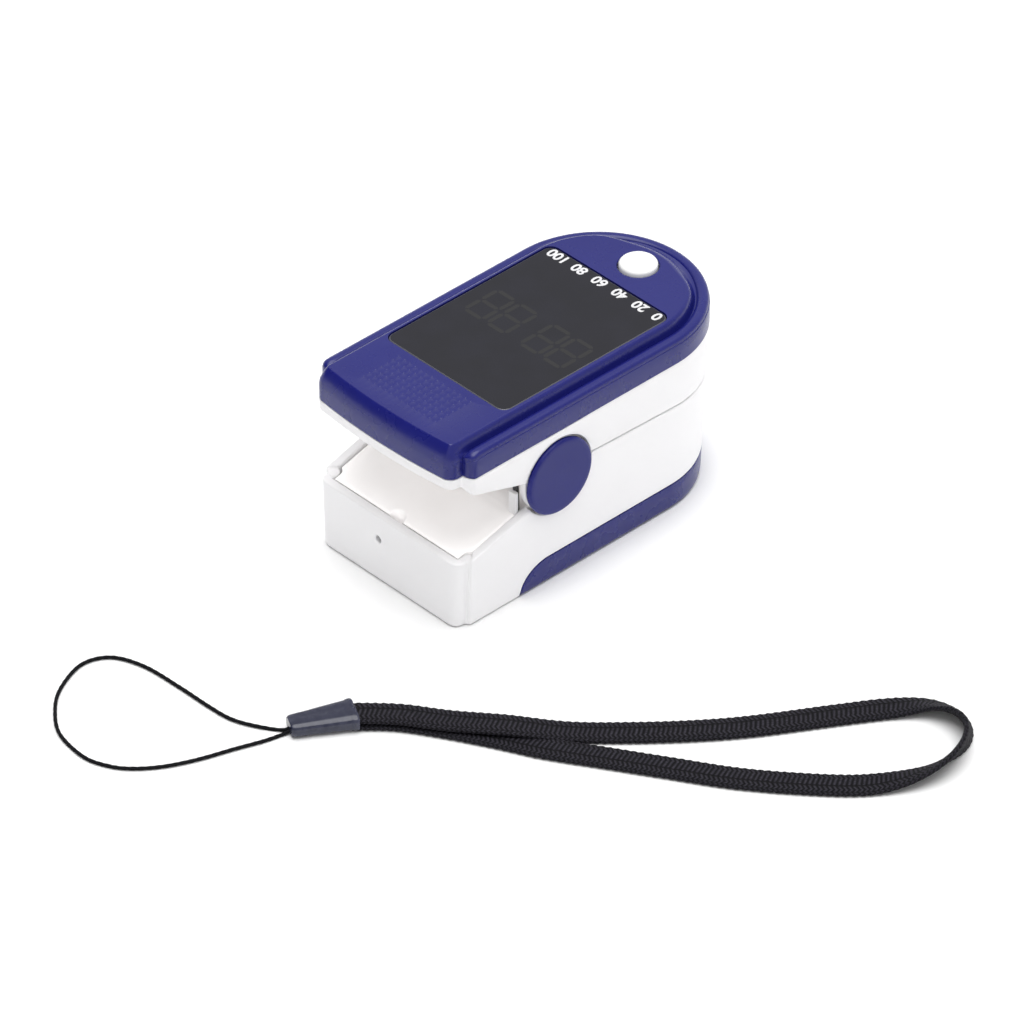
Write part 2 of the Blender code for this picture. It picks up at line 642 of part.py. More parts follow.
# ======================================================================================
# upper half
# ======================================================================================
def upper_shell(joint):
    """White ring of the upper half with its lip, its deck and the two hinge arms."""
    shell = tapered_plate("upper_shell", upper_outline(), 15.0, PART_LINE - GAP)
    cut(shell, tapered_plate("upper_cavity", upper_outline(WALL), 14.0, 28.0))
    cut(shell, side_plate("upper_underside", upper_side_cut()))
    join(shell, tapered_plate("upper_deck", upper_outline(WALL - 0.5), DECK_LOW, DECK_HIGH))
    for side in (-1, 1):
        low, high = sorted((side * ARM_INNER, side * ARM_OUTER))
        join(shell,
             box(f"arm_{side}", (low, PIVOT_Y - ARM_ROUND, PIVOT_Z), (high, PIVOT_Y + ARM_ROUND,
                                                                   DECK_LOW + 0.5)),
             rod(f"arm_end_{side}", "X", (PIVOT_Y, PIVOT_Z), low, high, ARM_ROUND))
        low, high = sorted((side * 9.0, side * 13.5))
        cut(shell, rod(f"arm_bore_{side}", "X", (PIVOT_Y, PIVOT_Z), low, high, PIN_BORE))
        cut(shell, cable_hole(f"deck_hole_{side}", side, 25.0, 27.0))
    for i, (x, y) in enumerate(CASE_SCREWS):
        cut(shell, rod(f"deck_screw_hole_{i}", "Z", (x, y), 25.0, 27.0, 0.85, segments=12))
    return finish(shell, "white_shell", joint, smooth=True)


def cable_hole(name, side, low, high):
    """Hole in a flat deck or board for a hinge cable."""
    return box(name, (side * CABLE_X - 0.85, CABLE_Y - 0.9, low),
               (side * CABLE_X + 0.85, CABLE_Y + 0.9, high))


def arm_slot(name, side, low, high):
    """Room in the upper pad and its tray for a hinge arm and its spring."""
    near, far = sorted((side * (ARM_INNER - GAP), side * 18.0))
    return box(name, (near, PIVOT_Y - ARM_ROUND - GAP, low), (far, PIVOT_Y + ARM_ROUND + GAP, high))


def upper_tray(joint):
    """White carrier between the deck and the upper pad."""
    tray = tapered_plate("upper_tray", upper_outline(PAD_INSET), UPPER_TRAY_LOW, UPPER_TRAY_HIGH)
    cut(tray, box("upper_tray_front_trim", (-20, -40, 23), (20, -14.4, 26)),
        box("upper_tray_rear_trim", (-20, PAD_REAR + 1.0, 23), (20, 40, 26)),
        box("emitter_seat", (-4.0, SENSOR_Y - 3.2, 23), (4.0, SENSOR_Y + 3.2, 26)))
    for side in (-1, 1):
        cut(tray, arm_slot(f"tray_arm_slot_{side}", side, 23.0, 26.0))
    return finish(tray, "white_shell", joint)


def upper_pad(joint):
    """Soft pad over the finger, hollowed like the lower one."""
    side = [(-27.6, 24.5), (-16.5, ROOF), (PAD_REAR, ROOF), (PAD_REAR, 18.2),
            (PAD_REAR + 1.0, 18.2), (PAD_REAR + 1.0, ROOF + ROOF_THICK),
            (-16.8, ROOF + ROOF_THICK), (-27.6, 25.2)]
    pad = side_plate("upper_pad", side)
    keep_shared(pad, tapered_plate("upper_pad_plan", upper_outline(PAD_INSET), 17.0, 26.0))
    trough_z = ROOF + TROUGH_DEPTH - TROUGH_RADIUS
    cut(pad, rod("upper_trough", "Y", (0.0, trough_z), -40.0, PAD_REAR - 0.6, TROUGH_RADIUS,
                 segments=96))
    cut(pad, box("emitter_window", (-2.3, SENSOR_Y - 2.0, 21), (2.3, SENSOR_Y + 2.0, 25)))
    for side_sign in (-1, 1):
        cut(pad, arm_slot(f"pad_arm_slot_{side_sign}", side_sign, 20.0, 26.0),
            cable_notch(f"upper_pad_notch_{side_sign}", side_sign, 20.0, 26.0))
    return finish(pad, "pad_rubber", joint)


def emitter(joint):
    """Board, LED and lens over the finger."""
    board = box("emitter_board", (-3.7, SENSOR_Y - 2.8, 24.6), (3.7, SENSOR_Y + 2.8, 25.2))
    finish(board, "board_green", joint)
    led = box("led_emitter", (-1.6, SENSOR_Y - 1.3, 23.6), (1.6, SENSOR_Y + 1.3, 24.3))
    finish(led, "clear_lens", joint)
    lens = box("emitter_lens", (-2.0, SENSOR_Y - 1.7, 22.9), (2.0, SENSOR_Y + 1.7, 23.3))
    finish(lens, "clear_lens", joint)


def electronics(joint):
    """Main board with its chips, the display, the switch and the timing crystal."""
    board = plate("main_pcb", upper_outline(2.4), BOARD_LOW, BOARD_HIGH)
    cut(board, box("board_front_trim", (-20, -40, 26), (20, -24.4, 29)))
    for i, (x, y) in enumerate(CASE_SCREWS):
        cut(board, rod(f"board_hole_{i}", "Z", (x, y), 26.0, 29.0, 2.2, segments=16))
    finish(board, "board_green", joint)
    seat = BOARD_HIGH + GAP
    pieces = (
        ("controller_chip", (-3.5, -23.0), (3.5, -18.0), 1.0, "chip_black"),
        ("analog_chip", (-7.5, 16.4), (-3.5, 19.0), 1.0, "chip_black"),
        ("timing_crystal", (4.2, 16.4), (8.2, 18.2), 1.0, "nickel"),
        ("display_module", (-12.0, -16.2), (12.0, 14.6), 1.9, "chip_black"),
        ("tactile_switch", (-2.3, BUTTON_Y - 2.3), (2.3, BUTTON_Y + 2.3), 1.2, "chip_black"),
    )
    for name, low, high, height, finish_name in pieces:
        finish(box(name, (*low, seat), (*high, seat + height)), finish_name, joint)


def rounded_rectangle(half, front, rear, radius):
    """Outline of a rectangle across X with round corners."""
    return (arc(half - radius, front + radius, radius, -90, 0, 4)
            + arc(half - radius, rear - radius, radius, 0, 90, 4)
            + arc(-half + radius, rear - radius, radius, 90, 180, 4)
            + arc(-half + radius, front + radius, radius, 180, 270, 4))


def display_window(joint):
    """Dark window over the display."""
    outline = rounded_rectangle(WINDOW_HALF, WINDOW_FRONT, WINDOW_REAR, WINDOW_ROUND)
    return finish(plate("display_window", outline, WINDOW_LOW, WINDOW_HIGH), "smoked_window", joint)


def top_cover(joint):
    """Blue cover: rim, raised plateau with a rolled front, window seat and button hole."""
    cover = plate("top_cover", upper_outline(), PART_LINE, RIM_TOP)
    join(cover, plate("plateau", plateau_outline(), RIM_TOP - 0.2, TOP))
    slope = [(-40.0, 29.4), (-29.95, 29.4), (-29.55, 30.6), (-28.95, 31.6), (-28.3, TOP + 0.1),
             (-28.3, 40.0), (-40.0, 40.0)]
    cut(cover, side_plate("front_slope", slope))
    hollow = plate("cover_hollow_top", upper_outline(WALL), PART_LINE - 1.0, 30.2)
    keep_shared(hollow, side_plate("cover_hollow_side", [
        (-40.0, 20.0), (-40.0, 28.6), (-28.0, 28.6), (-27.0, 30.2), (-27.0, 31.0), (40.0, 31.0),
        (40.0, 20.0)]))
    cut(cover, hollow)
    seat = rounded_rectangle(WINDOW_HALF + GAP, WINDOW_FRONT - GAP, WINDOW_REAR + GAP,
                             WINDOW_ROUND + GAP)
    cut(cover, plate("window_seat", seat, WINDOW_LOW - GAP, 40.0),
        plate("window_opening", rounded_rectangle(11.3, -16.2, 14.6, 1.0), 28.0, 32.0),
        rod("button_hole", "Z", (0.0, BUTTON_Y), 28.0, 40.0, BUTTON_RADIUS + GAP, segments=32),
        rod("button_pocket", "Z", (0.0, BUTTON_Y), 28.0, 31.2, 4.2, segments=24))
    for i, (x, y) in enumerate(CASE_SCREWS):
        join(cover, rod(f"case_boss_{i}", "Z", (x, y), BOARD_LOW - 0.1, 30.4, 1.8, segments=12))
        cut(cover, rod(f"case_pilot_{i}", "Z", (x, y), 26.0, 29.6, SCREW_SHANK + GAP, segments=12))
    return finish(cover, "blue_shell", joint, smooth=True)


def case_screw(index, x, y, joint):
    """Pan head screw from the deck up into a boss of the top cover."""
    screw = rod(f"case_screw_{index}", "Z", (x, y), 24.6, 25.2, SCREW_HEAD, segments=12)
    join(screw, rod(f"case_screw_shank_{index}", "Z", (x, y), 25.1, 29.2, SCREW_SHANK, segments=8))
    return finish(screw, "spring_steel", joint)


def power_button(joint):
    """Round domed button with its flange and the stem over the switch."""
    crown = 0.45
    button = rod("power_button", "Z", (0.0, BUTTON_Y), 30.3, 30.9, 3.7, segments=32)
    join(button,
         rod("button_neck", "Z", (0.0, BUTTON_Y), 30.8, BUTTON_TOP - crown, BUTTON_RADIUS,
             segments=32),
         rod("button_crown", "Z", (0.0, BUTTON_Y), BUTTON_TOP - crown - 0.01, BUTTON_TOP,
             BUTTON_RADIUS - 0.01, BUTTON_RADIUS - 0.9, 32),
         rod("button_stem", "Z", (0.0, BUTTON_Y), 29.8, 30.4, 1.1))
    return finish(button, "button_white", joint, smooth=True)


# ======================================================================================
# lanyard
# ======================================================================================
def lanyard_ferrule(joint):
    """Flattened tapered sleeve that crimps the string to the strap."""
    start, end = Vector(FERRULE_FRONT), Vector(FERRULE_REAR)
    length = (end - start).length
    heading = atan2(end.y - start.y, end.x - start.x)
    bm = bmesh.new()
    bmesh.ops.create_cone(bm, cap_ends=True, segments=8, radius1=1.0, radius2=1.0, depth=length)
    bmesh.ops.rotate(bm, matrix=Matrix.Rotation(pi / 8, 3, "Z"), verts=bm.verts)
    bmesh.ops.rotate(bm, matrix=Matrix.Rotation(pi / 2, 3, "Y"), verts=bm.verts)
    reach = cos(pi / 8)
    for vertex in bm.verts:
        width, height = FERRULE_LARGE if vertex.co.x > 0 else FERRULE_SMALL
        vertex.co.y *= width / 2 / reach
        vertex.co.z *= height / 2 / reach
        vertex.co.z += FERRULE_LARGE[1] / 2 if vertex.co.x > 0 else FERRULE_SMALL[1] / 2 + 0.1
    bmesh.ops.rotate(bm, matrix=Matrix.Rotation(heading, 3, "Z"), verts=bm.verts)
    middle = (start + end) / 2
    bmesh.ops.translate(bm, vec=(middle.x, middle.y, 0.0), verts=bm.verts)
    return finish(mesh_object("lanyard_ferrule", bm), "ferrule_vinyl", joint)


def strap_section():
    """Flat oval cross-section of the strap, kept as a guide curve."""
    curve = bpy.data.curves.new("strap_section", "CURVE")
    curve.dimensions = "2D"
    curve.fill_mode = "NONE"
    spline = curve.splines.new("POLY")
    spline.points.add(9)
    for i, point in enumerate(spline.points):
        angle = 2 * pi * (i + 0.5) / 10
        u, v = cos(angle), sin(angle)
        u = abs(u) ** 0.5 * (1 if u > 0 else -1)
        v = abs(v) ** 0.5 * (1 if v > 0 else -1)
        point.co = (u * STRAP_WIDTH / 2 * MM, v * STRAP_THICK / 2 * MM, 0.0, 1.0)
    spline.use_cyclic_u = True
    guide = bpy.data.objects.new("strap_section", curve)
    TOOLS.objects.link(guide)
    return as_tool(guide)


def lanyard(joint):
    """String loop, ferrule and flat strap loop, lying on the table."""
    string = [(x, y, STRING_RADIUS + 0.05) for x, y in STRING_ROUTE]
    string[0] = (*STRING_ROUTE[0], 1.4)
    string[-1] = (*STRING_ROUTE[-1], 1.0)
    weld_wire("lanyard_string", smooth_route(string, 76), STRING_RADIUS, "cable_black", joint)
    lanyard_ferrule(joint)
    low = STRAP_THICK / 2 + 0.05
    strap = [(x, y, low + STRAP_STEP * level) for x, y, level in STRAP_ROUTE]
    weld_wire("lanyard_strap", smooth_route(strap, 64), None, "strap_black", joint,
              strap_section())


# ======================================================================================
# assembly
# ======================================================================================
def build():
    """Make every piece of the clip and its lanyard."""
    jaw = joint_empty("jaw_hinge_axis", (0.0, PIVOT_Y, PIVOT_Z))
    press = joint_empty("button_axis", (0.0, BUTTON_Y, BUTTON_TOP))
    slide = joint_empty("battery_cover_axis", (0.0, 0.0, 0.0))
    lift = joint_empty("lanyard_place", (*FERRULE_FRONT, 0.0))

    lower_shell()
    lower_tray()
    lower_pad()
    battery("battery_left", -1, nub_forward=False)
    battery("battery_right", 1, nub_forward=True)
    bridge_contact()
    positive_contact()
    negative_spring()
    detector()
    for index, (x, y) in enumerate(TRAY_SCREWS, start=1):
        tray_screw(index, x, y)
    battery_cover(slide)

    hinge()
    hinge_cable("sensor_cable", 1)
    hinge_cable("power_cable", -1)

    upper_shell(jaw)
    upper_tray(jaw)
    upper_pad(jaw)
    emitter(jaw)
    electronics(jaw)
    display_window(jaw)
    top_cover(jaw)
    for index, (x, y) in enumerate(CASE_SCREWS, start=1):
        case_screw(index, x, y, jaw)
    power_button(press)
    lanyard(lift)


build()
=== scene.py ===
"""Looks of the fingertip pulse oximeter and its wrist lanyard, built round their frame.

Sizes are in millimetres and turned into metres when a piece is finished.  +Z is up, -Y is
the mouth where the finger goes in, and +X is the side of the user.
"""
import logging
from collections.abc import Callable, Iterable, Sequence
from dataclasses import dataclass, field
from enum import Enum
from functools import lru_cache
from math import cos, hypot, pi, radians, sin, sqrt

import bmesh
import bpy
from mathutils import Matrix, Vector


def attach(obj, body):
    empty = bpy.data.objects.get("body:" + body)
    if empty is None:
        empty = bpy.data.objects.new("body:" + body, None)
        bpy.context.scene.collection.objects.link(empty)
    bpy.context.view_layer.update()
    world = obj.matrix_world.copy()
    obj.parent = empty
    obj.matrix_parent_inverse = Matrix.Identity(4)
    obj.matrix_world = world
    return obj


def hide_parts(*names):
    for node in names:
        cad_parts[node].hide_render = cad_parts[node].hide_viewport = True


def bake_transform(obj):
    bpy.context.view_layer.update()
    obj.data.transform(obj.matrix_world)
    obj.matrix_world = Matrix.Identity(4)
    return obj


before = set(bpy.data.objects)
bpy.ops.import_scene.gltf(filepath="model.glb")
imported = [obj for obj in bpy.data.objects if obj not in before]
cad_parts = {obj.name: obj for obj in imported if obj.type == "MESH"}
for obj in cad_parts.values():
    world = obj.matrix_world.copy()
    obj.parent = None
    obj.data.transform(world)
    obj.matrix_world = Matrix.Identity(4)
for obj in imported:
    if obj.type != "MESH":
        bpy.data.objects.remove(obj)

LOG = logging.getLogger("oximeter")
MM = 0.001
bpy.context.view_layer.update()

Colour = tuple[float, float, float]
Plan = list[tuple[float, float]]


class Body(Enum):
    """The bodies of the frame that a piece may ride on."""

    LOWER = "lower_body"
    JAW = "upper_jaw"
    BUTTON = "power_button"
    COVER = "battery_cover"
    LANYARD = "lanyard"


# ---- small helpers -------------------------------------------------------------------
def smoothstep(low: float, high: float, value: float) -> float:
    """Rise smoothly from 0 at low to 1 at high."""
    share = min(max((value - low) / (high - low), 0.0), 1.0)
    return share * share * (3.0 - 2.0 * share)


def mix(first: float, second: float, share: float) -> float:
    """Go from the first value to the second by a share."""
    return first + (second - first) * share


def arc(u: float, v: float, radius: float, start: float, end: float, steps: int) -> Plan:
    """Points on an arc.

    Args:
        u, v: Centre of the arc.
        radius: Its radius.
        start, end: Its two angles in degrees.
        steps: Number of straight pieces.

    Returns:
        The points, both ends included.
    """
    angles = [radians(mix(start, end, i / steps)) for i in range(steps + 1)]
    return [(u + radius * cos(a), v + radius * sin(a)) for a in angles]


def spread(low: float, high: float, step: float) -> list[float]:
    """Evenly spaced values from low to high, no further apart than a step."""
    count = max(1, round((high - low) / step))
    return [mix(low, high, i / count) for i in range(count + 1)]


def smooth_route(route: Sequence[Sequence[float]], count: int) -> list[Vector]:
    """Even points on a Catmull-Rom curve.

    Args:
        route: The points that the curve passes through.
        count: How many points to give back.

    Returns:
        Points the same distance apart along the curve.
    """
    points = [Vector(p) for p in route]
    ends = [2 * points[0] - points[1]] + points + [2 * points[-1] - points[-2]]
    dense = []
    for p0, p1, p2, p3 in zip(ends, ends[1:], ends[2:], ends[3:]):
        for i in range(24):
            t = i / 24
            dense.append(0.5 * (2 * p1 + (p2 - p0) * t + (2 * p0 - 5 * p1 + 4 * p2 - p3) * t ** 2
                                + (3 * p1 - p0 - 3 * p2 + p3) * t ** 3))
    dense.append(points[-1])
    travelled = [0.0]
    for a, b in zip(dense, dense[1:]):
        travelled.append(travelled[-1] + (b - a).length)
    even, k = [], 0
    for i in range(count):
        goal = travelled[-1] * i / (count - 1)
        while k < len(dense) - 2 and travelled[k + 1] < goal:
            k += 1
        share = (goal - travelled[k]) / (travelled[k + 1] - travelled[k])
        even.append(dense[k].lerp(dense[k + 1], min(share, 1.0)))
    return even


def route_length(points: Sequence[Vector]) -> float:
    """Length of a line of points."""
    return sum((b - a).length for a, b in zip(points, points[1:]))


class Band:
    """Faces raised row by row from one chain of vertices."""

    def __init__(self, bm: bmesh.types.BMesh, places: Sequence[Sequence[float]],
                 closed: bool = True) -> None:
        """Lay the first chain.

        Args:
            bm: The mesh that takes the faces.
            places: Where the chain's vertices stand.
            closed: Whether the last vertex is joined to the first.
        """
        self.bm = bm
        self.row = [bm.verts.new(Vector(p)) for p in places]
        pairs = list(zip(self.row, self.row[1:]))
        if closed:
            pairs.append((self.row[-1], self.row[0]))
        self.edges = [bm.edges.new(pair) for pair in pairs]
        self.first = list(self.edges)

    def rise(self, places: Sequence[Sequence[float]]) -> "Band":
        """Extrude the last chain and put the new vertices in their places."""
        made = bmesh.ops.extrude_edge_only(self.bm, edges=self.edges)["geom"]
        fresh = {v for v in made if isinstance(v, bmesh.types.BMVert)}
        row = [next(e.other_vert(v) for e in v.link_edges if e.other_vert(v) in fresh)
               for v in self.row]
        for vert, place in zip(row, places):
            vert.co = Vector(place)
        self.row = row
        wanted = set(row)
        self.edges = [e for e in made if isinstance(e, bmesh.types.BMEdge)
                      and e.verts[0] in wanted and e.verts[1] in wanted]
        return self

    def close(self) -> None:
        """Join the last chain to the first, so that the section is closed."""
        bmesh.ops.bridge_loops(self.bm, edges=self.first + self.edges)

    def cap(self) -> None:
        """Close both ends of a tube with one face each."""
        for edges in (self.first, self.edges):
            bmesh.ops.contextual_create(self.bm, geom=edges)


def slab(bm: bmesh.types.BMesh, outline: Plan, low: float, high: float) -> None:
    """Add a flat plate with the given outline between two heights."""
    band = Band(bm, [(x, y, low) for x, y in outline]).rise([(x, y, high) for x, y in outline])
    band.cap()


def turned(bm: bmesh.types.BMesh, profile: Plan, place: Sequence[float], axis: str,
           steps: int) -> None:
    """Add a turned shape.

    Args:
        bm: The mesh that takes it.
        profile: Pairs of radius and distance along the axis, from pole to pole.
        place: Where the axis starts.
        axis: "Z", "X" or "-X".
        steps: Number of faces round the axis.
    """
    before = set(bm.verts)
    verts = [bm.verts.new((radius, 0.0, along)) for radius, along in profile]
    edges = [bm.edges.new(pair) for pair in zip(verts, verts[1:])]
    bmesh.ops.spin(bm, geom=verts + edges, cent=(0, 0, 0), axis=(0, 0, 1), angle=2 * pi,
                   steps=steps, use_merge=True)
    fresh = [v for v in bm.verts if v not in before]
    turn = {"Z": Matrix.Identity(3), "X": Matrix.Rotation(pi / 2, 3, "Y"),
            "-X": Matrix.Rotation(-pi / 2, 3, "Y")}[axis]
    bmesh.ops.rotate(bm, cent=(0, 0, 0), matrix=turn, verts=fresh)
    bmesh.ops.translate(bm, vec=Vector(place), verts=fresh)
    bmesh.ops.remove_doubles(bm, verts=fresh, dist=0.0005)


def ring_plate(bm: bmesh.types.BMesh, place: tuple[float, float], bore: float,
               reach: Callable[[float], float], low: float, high: float) -> None:
    """Add a plate across X with a round bore, its rim given by angle.

    Args:
        bm: The mesh that takes it.
        place: Y and Z of the bore.
        bore: Radius of the bore.
        reach: Distance from the bore's centre to the rim at an angle.
        low, high: X of the two faces.
    """
    def loop(distance: Callable[[float], float], x: float) -> list[Vector]:
        angles = [2 * pi * i / 64 for i in range(64)]
        return [Vector((x, place[0] + distance(a) * cos(a), place[1] + distance(a) * sin(a)))
                for a in angles]

    soft = 0.12
    band = Band(bm, loop(lambda a: bore, low))
    band.rise(loop(lambda a: reach(a) - soft, low)).rise(loop(reach, low + soft))
    band.rise(loop(reach, high - soft)).rise(loop(lambda a: reach(a) - soft, high))
    band.rise(loop(lambda a: bore, high))
    band.close()


def outward(bm: bmesh.types.BMesh) -> None:
    """Weld doubled vertices and turn every face outwards."""
    bmesh.ops.remove_doubles(bm, verts=bm.verts, dist=0.0005)
    bmesh.ops.dissolve_degenerate(bm, edges=bm.edges, dist=0.0005)
    bmesh.ops.recalc_face_normals(bm, faces=bm.faces)


def mark_edges(mesh: bpy.types.Mesh) -> None:
    """Store how strongly each vertex stands on an outer edge, for wear and for the painted
    highlight on the window's chamfered edge.
    """
    bm = bmesh.new()
    bm.from_mesh(mesh)
    layer = bm.verts.layers.float.new("edge")
    full = radians(28.0)
    for vert in bm.verts:
        bends = [e.calc_face_angle_signed(0.0) for e in vert.link_edges if e.is_manifold]
        vert[layer] = min(max(max(bends, default=0.0) / full, 0.0), 1.0)
    bm.to_mesh(mesh)
    bm.free()


def make_piece(name: str, bm: bmesh.types.BMesh, finish: "Finish", body: Body | None,
               replaces: Iterable[str] = (), flat_above: float = 38.0,
               tidy: bool = True) -> bpy.types.Object:
    """Turn a mesh in millimetres into a finished piece.

    Args:
        name: Name of the piece.
        bm: Its mesh, which is freed.
        finish: What it is made of.
        body: The body that it rides on, or none where it bends between two.
        replaces: CAD nodes that it stands for.
        flat_above: Angle in degrees above which an edge stays sharp.
        tidy: Whether doubles are merged and faces turned outwards first.

    Returns:
        The piece.
    """
    if tidy:
        outward(bm)
    bmesh.ops.scale(bm, vec=(MM, MM, MM), verts=bm.verts)
    mesh = bpy.data.meshes.new(name)
    bm.to_mesh(mesh)
    bm.free()
    obj = bpy.data.objects.new(name, mesh)
    bpy.context.scene.collection.objects.link(obj)
    mesh.shade_smooth()
    mesh.set_sharp_from_angle(angle=radians(flat_above))
    mark_edges(mesh)
    mesh.materials.append(finish.material)
    if body:
        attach(obj, body.value)
    if replaces:
        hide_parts(*replaces)
    LOG.info("%s: %d faces on %s", name, len(mesh.polygons), body.value if body else "two")
    return obj


# ---- shader building -----------------------------------------------------------------
class Graph:
    """A thin wrapper that adds and joins nodes in one tree."""

    def __init__(self, tree: bpy.types.NodeTree) -> None:
        """Keep the tree."""
        self.tree = tree

    def add(self, kind: str, inputs: dict | None = None, **settings: object) -> bpy.types.Node:
        """Add a node.

        Args:
            kind: Blender's name for the node.
            inputs: Values or sockets for its inputs, by name or number.
            settings: Its own properties.

        Returns:
            The node.
        """
        node = self.tree.nodes.new(kind)
        for key, value in settings.items():
            setattr(node, key, value)
        for key, value in (inputs or {}).items():
            if isinstance(value, bpy.types.NodeSocket):
                self.tree.links.new(value, node.inputs[key])
            else:
                node.inputs[key].default_value = value
        return node

    def math(self, operation: str, first: object, second: object = 0.0,
             clamp: bool = False) -> bpy.types.NodeSocket:
        """Add a Math node and return its result."""
        node = self.add("ShaderNodeMath", {0: first, 1: second}, operation=operation,
                        use_clamp=clamp)
        return node.outputs[0]

    def ramp(self, value: object, low: float, high: float, to_low: float = 0.0,
             to_high: float = 1.0) -> bpy.types.NodeSocket:
        """Map a value smoothly from one range to another and return the result."""
        node = self.add("ShaderNodeMapRange", {0: value, 1: low, 2: high, 3: to_low, 4: to_high},
                        interpolation_type="SMOOTHSTEP")
        return node.outputs[0]

    def noise(self, vector: object, scale: object, detail: float = 3.0) -> bpy.types.NodeSocket:
        """Add a Noise Texture and return its value."""
        node = self.add("ShaderNodeTexNoise", {"Vector": vector, "Scale": scale,
                                               "Detail": detail})
        return node.outputs[0]

    def blend(self, share: object, first: object, second: object) -> bpy.types.NodeSocket:
        """Mix two colours by a share and return the result."""
        node = self.add("ShaderNodeMix", {0: share, 6: first, 7: second}, data_type="RGBA")
        return node.outputs[2]


def new_group(name: str, inputs: Sequence[tuple[str, str]],
              outputs: Sequence[tuple[str, str]]) -> tuple[Graph, bpy.types.Node, bpy.types.Node]:
    """Start a shader node group.

    Args:
        name: Name of the group.
        inputs, outputs: Name and kind of each socket.

    Returns:
        The graph and its input and output nodes.
    """
    tree = bpy.data.node_groups.new(name, "ShaderNodeTree")
    for sockets, side in ((inputs, "INPUT"), (outputs, "OUTPUT")):
        for label, kind in sockets:
            tree.interface.new_socket(name=label, in_out=side, socket_type=f"NodeSocket{kind}")
    graph = Graph(tree)
    return graph, graph.add("NodeGroupInput"), graph.add("NodeGroupOutput")


def moulded_group() -> bpy.types.NodeTree:
    """Group for moulded plastic: faint mottling, fine grain and rubbed edges."""
    graph, given, result = new_group(
        "moulded_surface",
        [("Vector", "Vector"), ("Colour", "Color"), ("Mottle Colour", "Color"),
         ("Edge Colour", "Color"), ("Edge", "Float"), ("Edge Amount", "Float"),
         ("Grain Scale", "Float"), ("Smooth", "Float"), ("Rough", "Float")],
        [("Colour", "Color"), ("Roughness", "Float"), ("Height", "Float")])
    vector = given.outputs["Vector"]
    mottle = graph.ramp(graph.noise(vector, 110.0, 4.0), 0.35, 0.7)
    scuffs = graph.noise(vector, 900.0, 5.0)
    rubbed = graph.math("MULTIPLY", given.outputs["Edge"], graph.ramp(scuffs, 0.38, 0.62))
    rubbed = graph.math("MULTIPLY", rubbed, given.outputs["Edge Amount"], clamp=True)
    colour = graph.blend(mottle, given.outputs["Colour"], given.outputs["Mottle Colour"])
    colour = graph.blend(rubbed, colour, given.outputs["Edge Colour"])
    grain = graph.noise(vector, given.outputs["Grain Scale"], 2.0)
    finger = graph.ramp(graph.noise(vector, 260.0, 3.0), 0.4, 0.72)
    spread_out = graph.math("SUBTRACT", given.outputs["Rough"], given.outputs["Smooth"])
    rough = graph.math("MULTIPLY_ADD", finger, spread_out)
    rough.node.inputs[2].default_value = 0.0
    graph.tree.links.new(given.outputs["Smooth"], rough.node.inputs[2])
    graph.tree.links.new(colour, result.inputs["Colour"])
    graph.tree.links.new(rough, result.inputs["Roughness"])
    graph.tree.links.new(graph.math("MULTIPLY_ADD", scuffs, 0.15), result.inputs["Height"])
    last = result.inputs["Height"].links[0].from_node
    graph.tree.links.new(grain, last.inputs[2])
    return graph.tree


def metal_group() -> bpy.types.NodeTree:
    """Group for drawn or plated metal: dull patches and fine scratches."""
    graph, given, result = new_group(
        "metal_surface",
        [("Vector", "Vector"), ("Colour", "Color"), ("Dull Colour", "Color"), ("Smooth", "Float"),
         ("Rough", "Float")],
        [("Colour", "Color"), ("Roughness", "Float"), ("Height", "Float")])
    vector = given.outputs["Vector"]
    dull = graph.ramp(graph.noise(vector, 420.0, 4.0), 0.42, 0.68)
    stretched = graph.add("ShaderNodeMapping", {"Vector": vector, "Scale": (900.0, 9000.0, 900.0)})
    scratch = graph.noise(stretched.outputs[0], 1.0, 2.0)
    colour = graph.blend(dull, given.outputs["Colour"], given.outputs["Dull Colour"])
    share = graph.math("MULTIPLY", dull, graph.math("SUBTRACT", given.outputs["Rough"],
                                                    given.outputs["Smooth"]))
    graph.tree.links.new(colour, result.inputs["Colour"])
    graph.tree.links.new(graph.math("ADD", share, given.outputs["Smooth"]),
                         result.inputs["Roughness"])
    graph.tree.links.new(scratch, result.inputs["Height"])
    return graph.tree


def braid_group() -> bpy.types.NodeTree:
    """Group for braided or twisted yarn laid out on a UV map, with a sheen painted on the crowns
    of the yarns.
    """
    graph, given, result = new_group(
        "braided_yarn",
        [("UV", "Vector"), ("Colour", "Color"), ("Painted Sheen Colour", "Color"), ("Across", "Float"),
         ("Along", "Float"), ("Lean", "Float")],
        [("Colour", "Color"), ("Height", "Float")])
    parts = graph.add("ShaderNodeSeparateXYZ", {0: given.outputs["UV"]})
    across = graph.math("MULTIPLY", parts.outputs[0], given.outputs["Across"])
    fold = graph.math("PINGPONG", across, 0.5)
    along = graph.math("MULTIPLY", parts.outputs[1], given.outputs["Along"])
    slant = graph.math("ADD", along, graph.math("MULTIPLY", fold, given.outputs["Lean"]))
    yarn = graph.math("PINGPONG", slant, 0.5)
    round_yarn = graph.math("SINE", graph.math("MULTIPLY", yarn, 2 * pi / 2.0))
    valley = graph.ramp(graph.math("PINGPONG", across, 0.5), 0.0, 0.09, 0.35, 1.0)
    fibre = graph.noise(given.outputs["UV"], 900.0, 3.0)
    height = graph.math("MULTIPLY", round_yarn, valley)
    fuzz = graph.math("MULTIPLY", fibre, 0.35)
    graph.tree.links.new(graph.math("ADD", height, fuzz), result.inputs["Height"])
    # Painted sheen: the crowns of the yarns are painted towards the paler colour, as if lit.
    crown = graph.math("POWER", height, 2.5)
    lit = graph.math("MULTIPLY", crown, graph.ramp(fibre, 0.35, 0.65, 0.1, 1.0), clamp=True)
    graph.tree.links.new(graph.blend(lit, given.outputs["Colour"], given.outputs["Painted Sheen Colour"]),
                         result.inputs["Colour"])
    return graph.tree


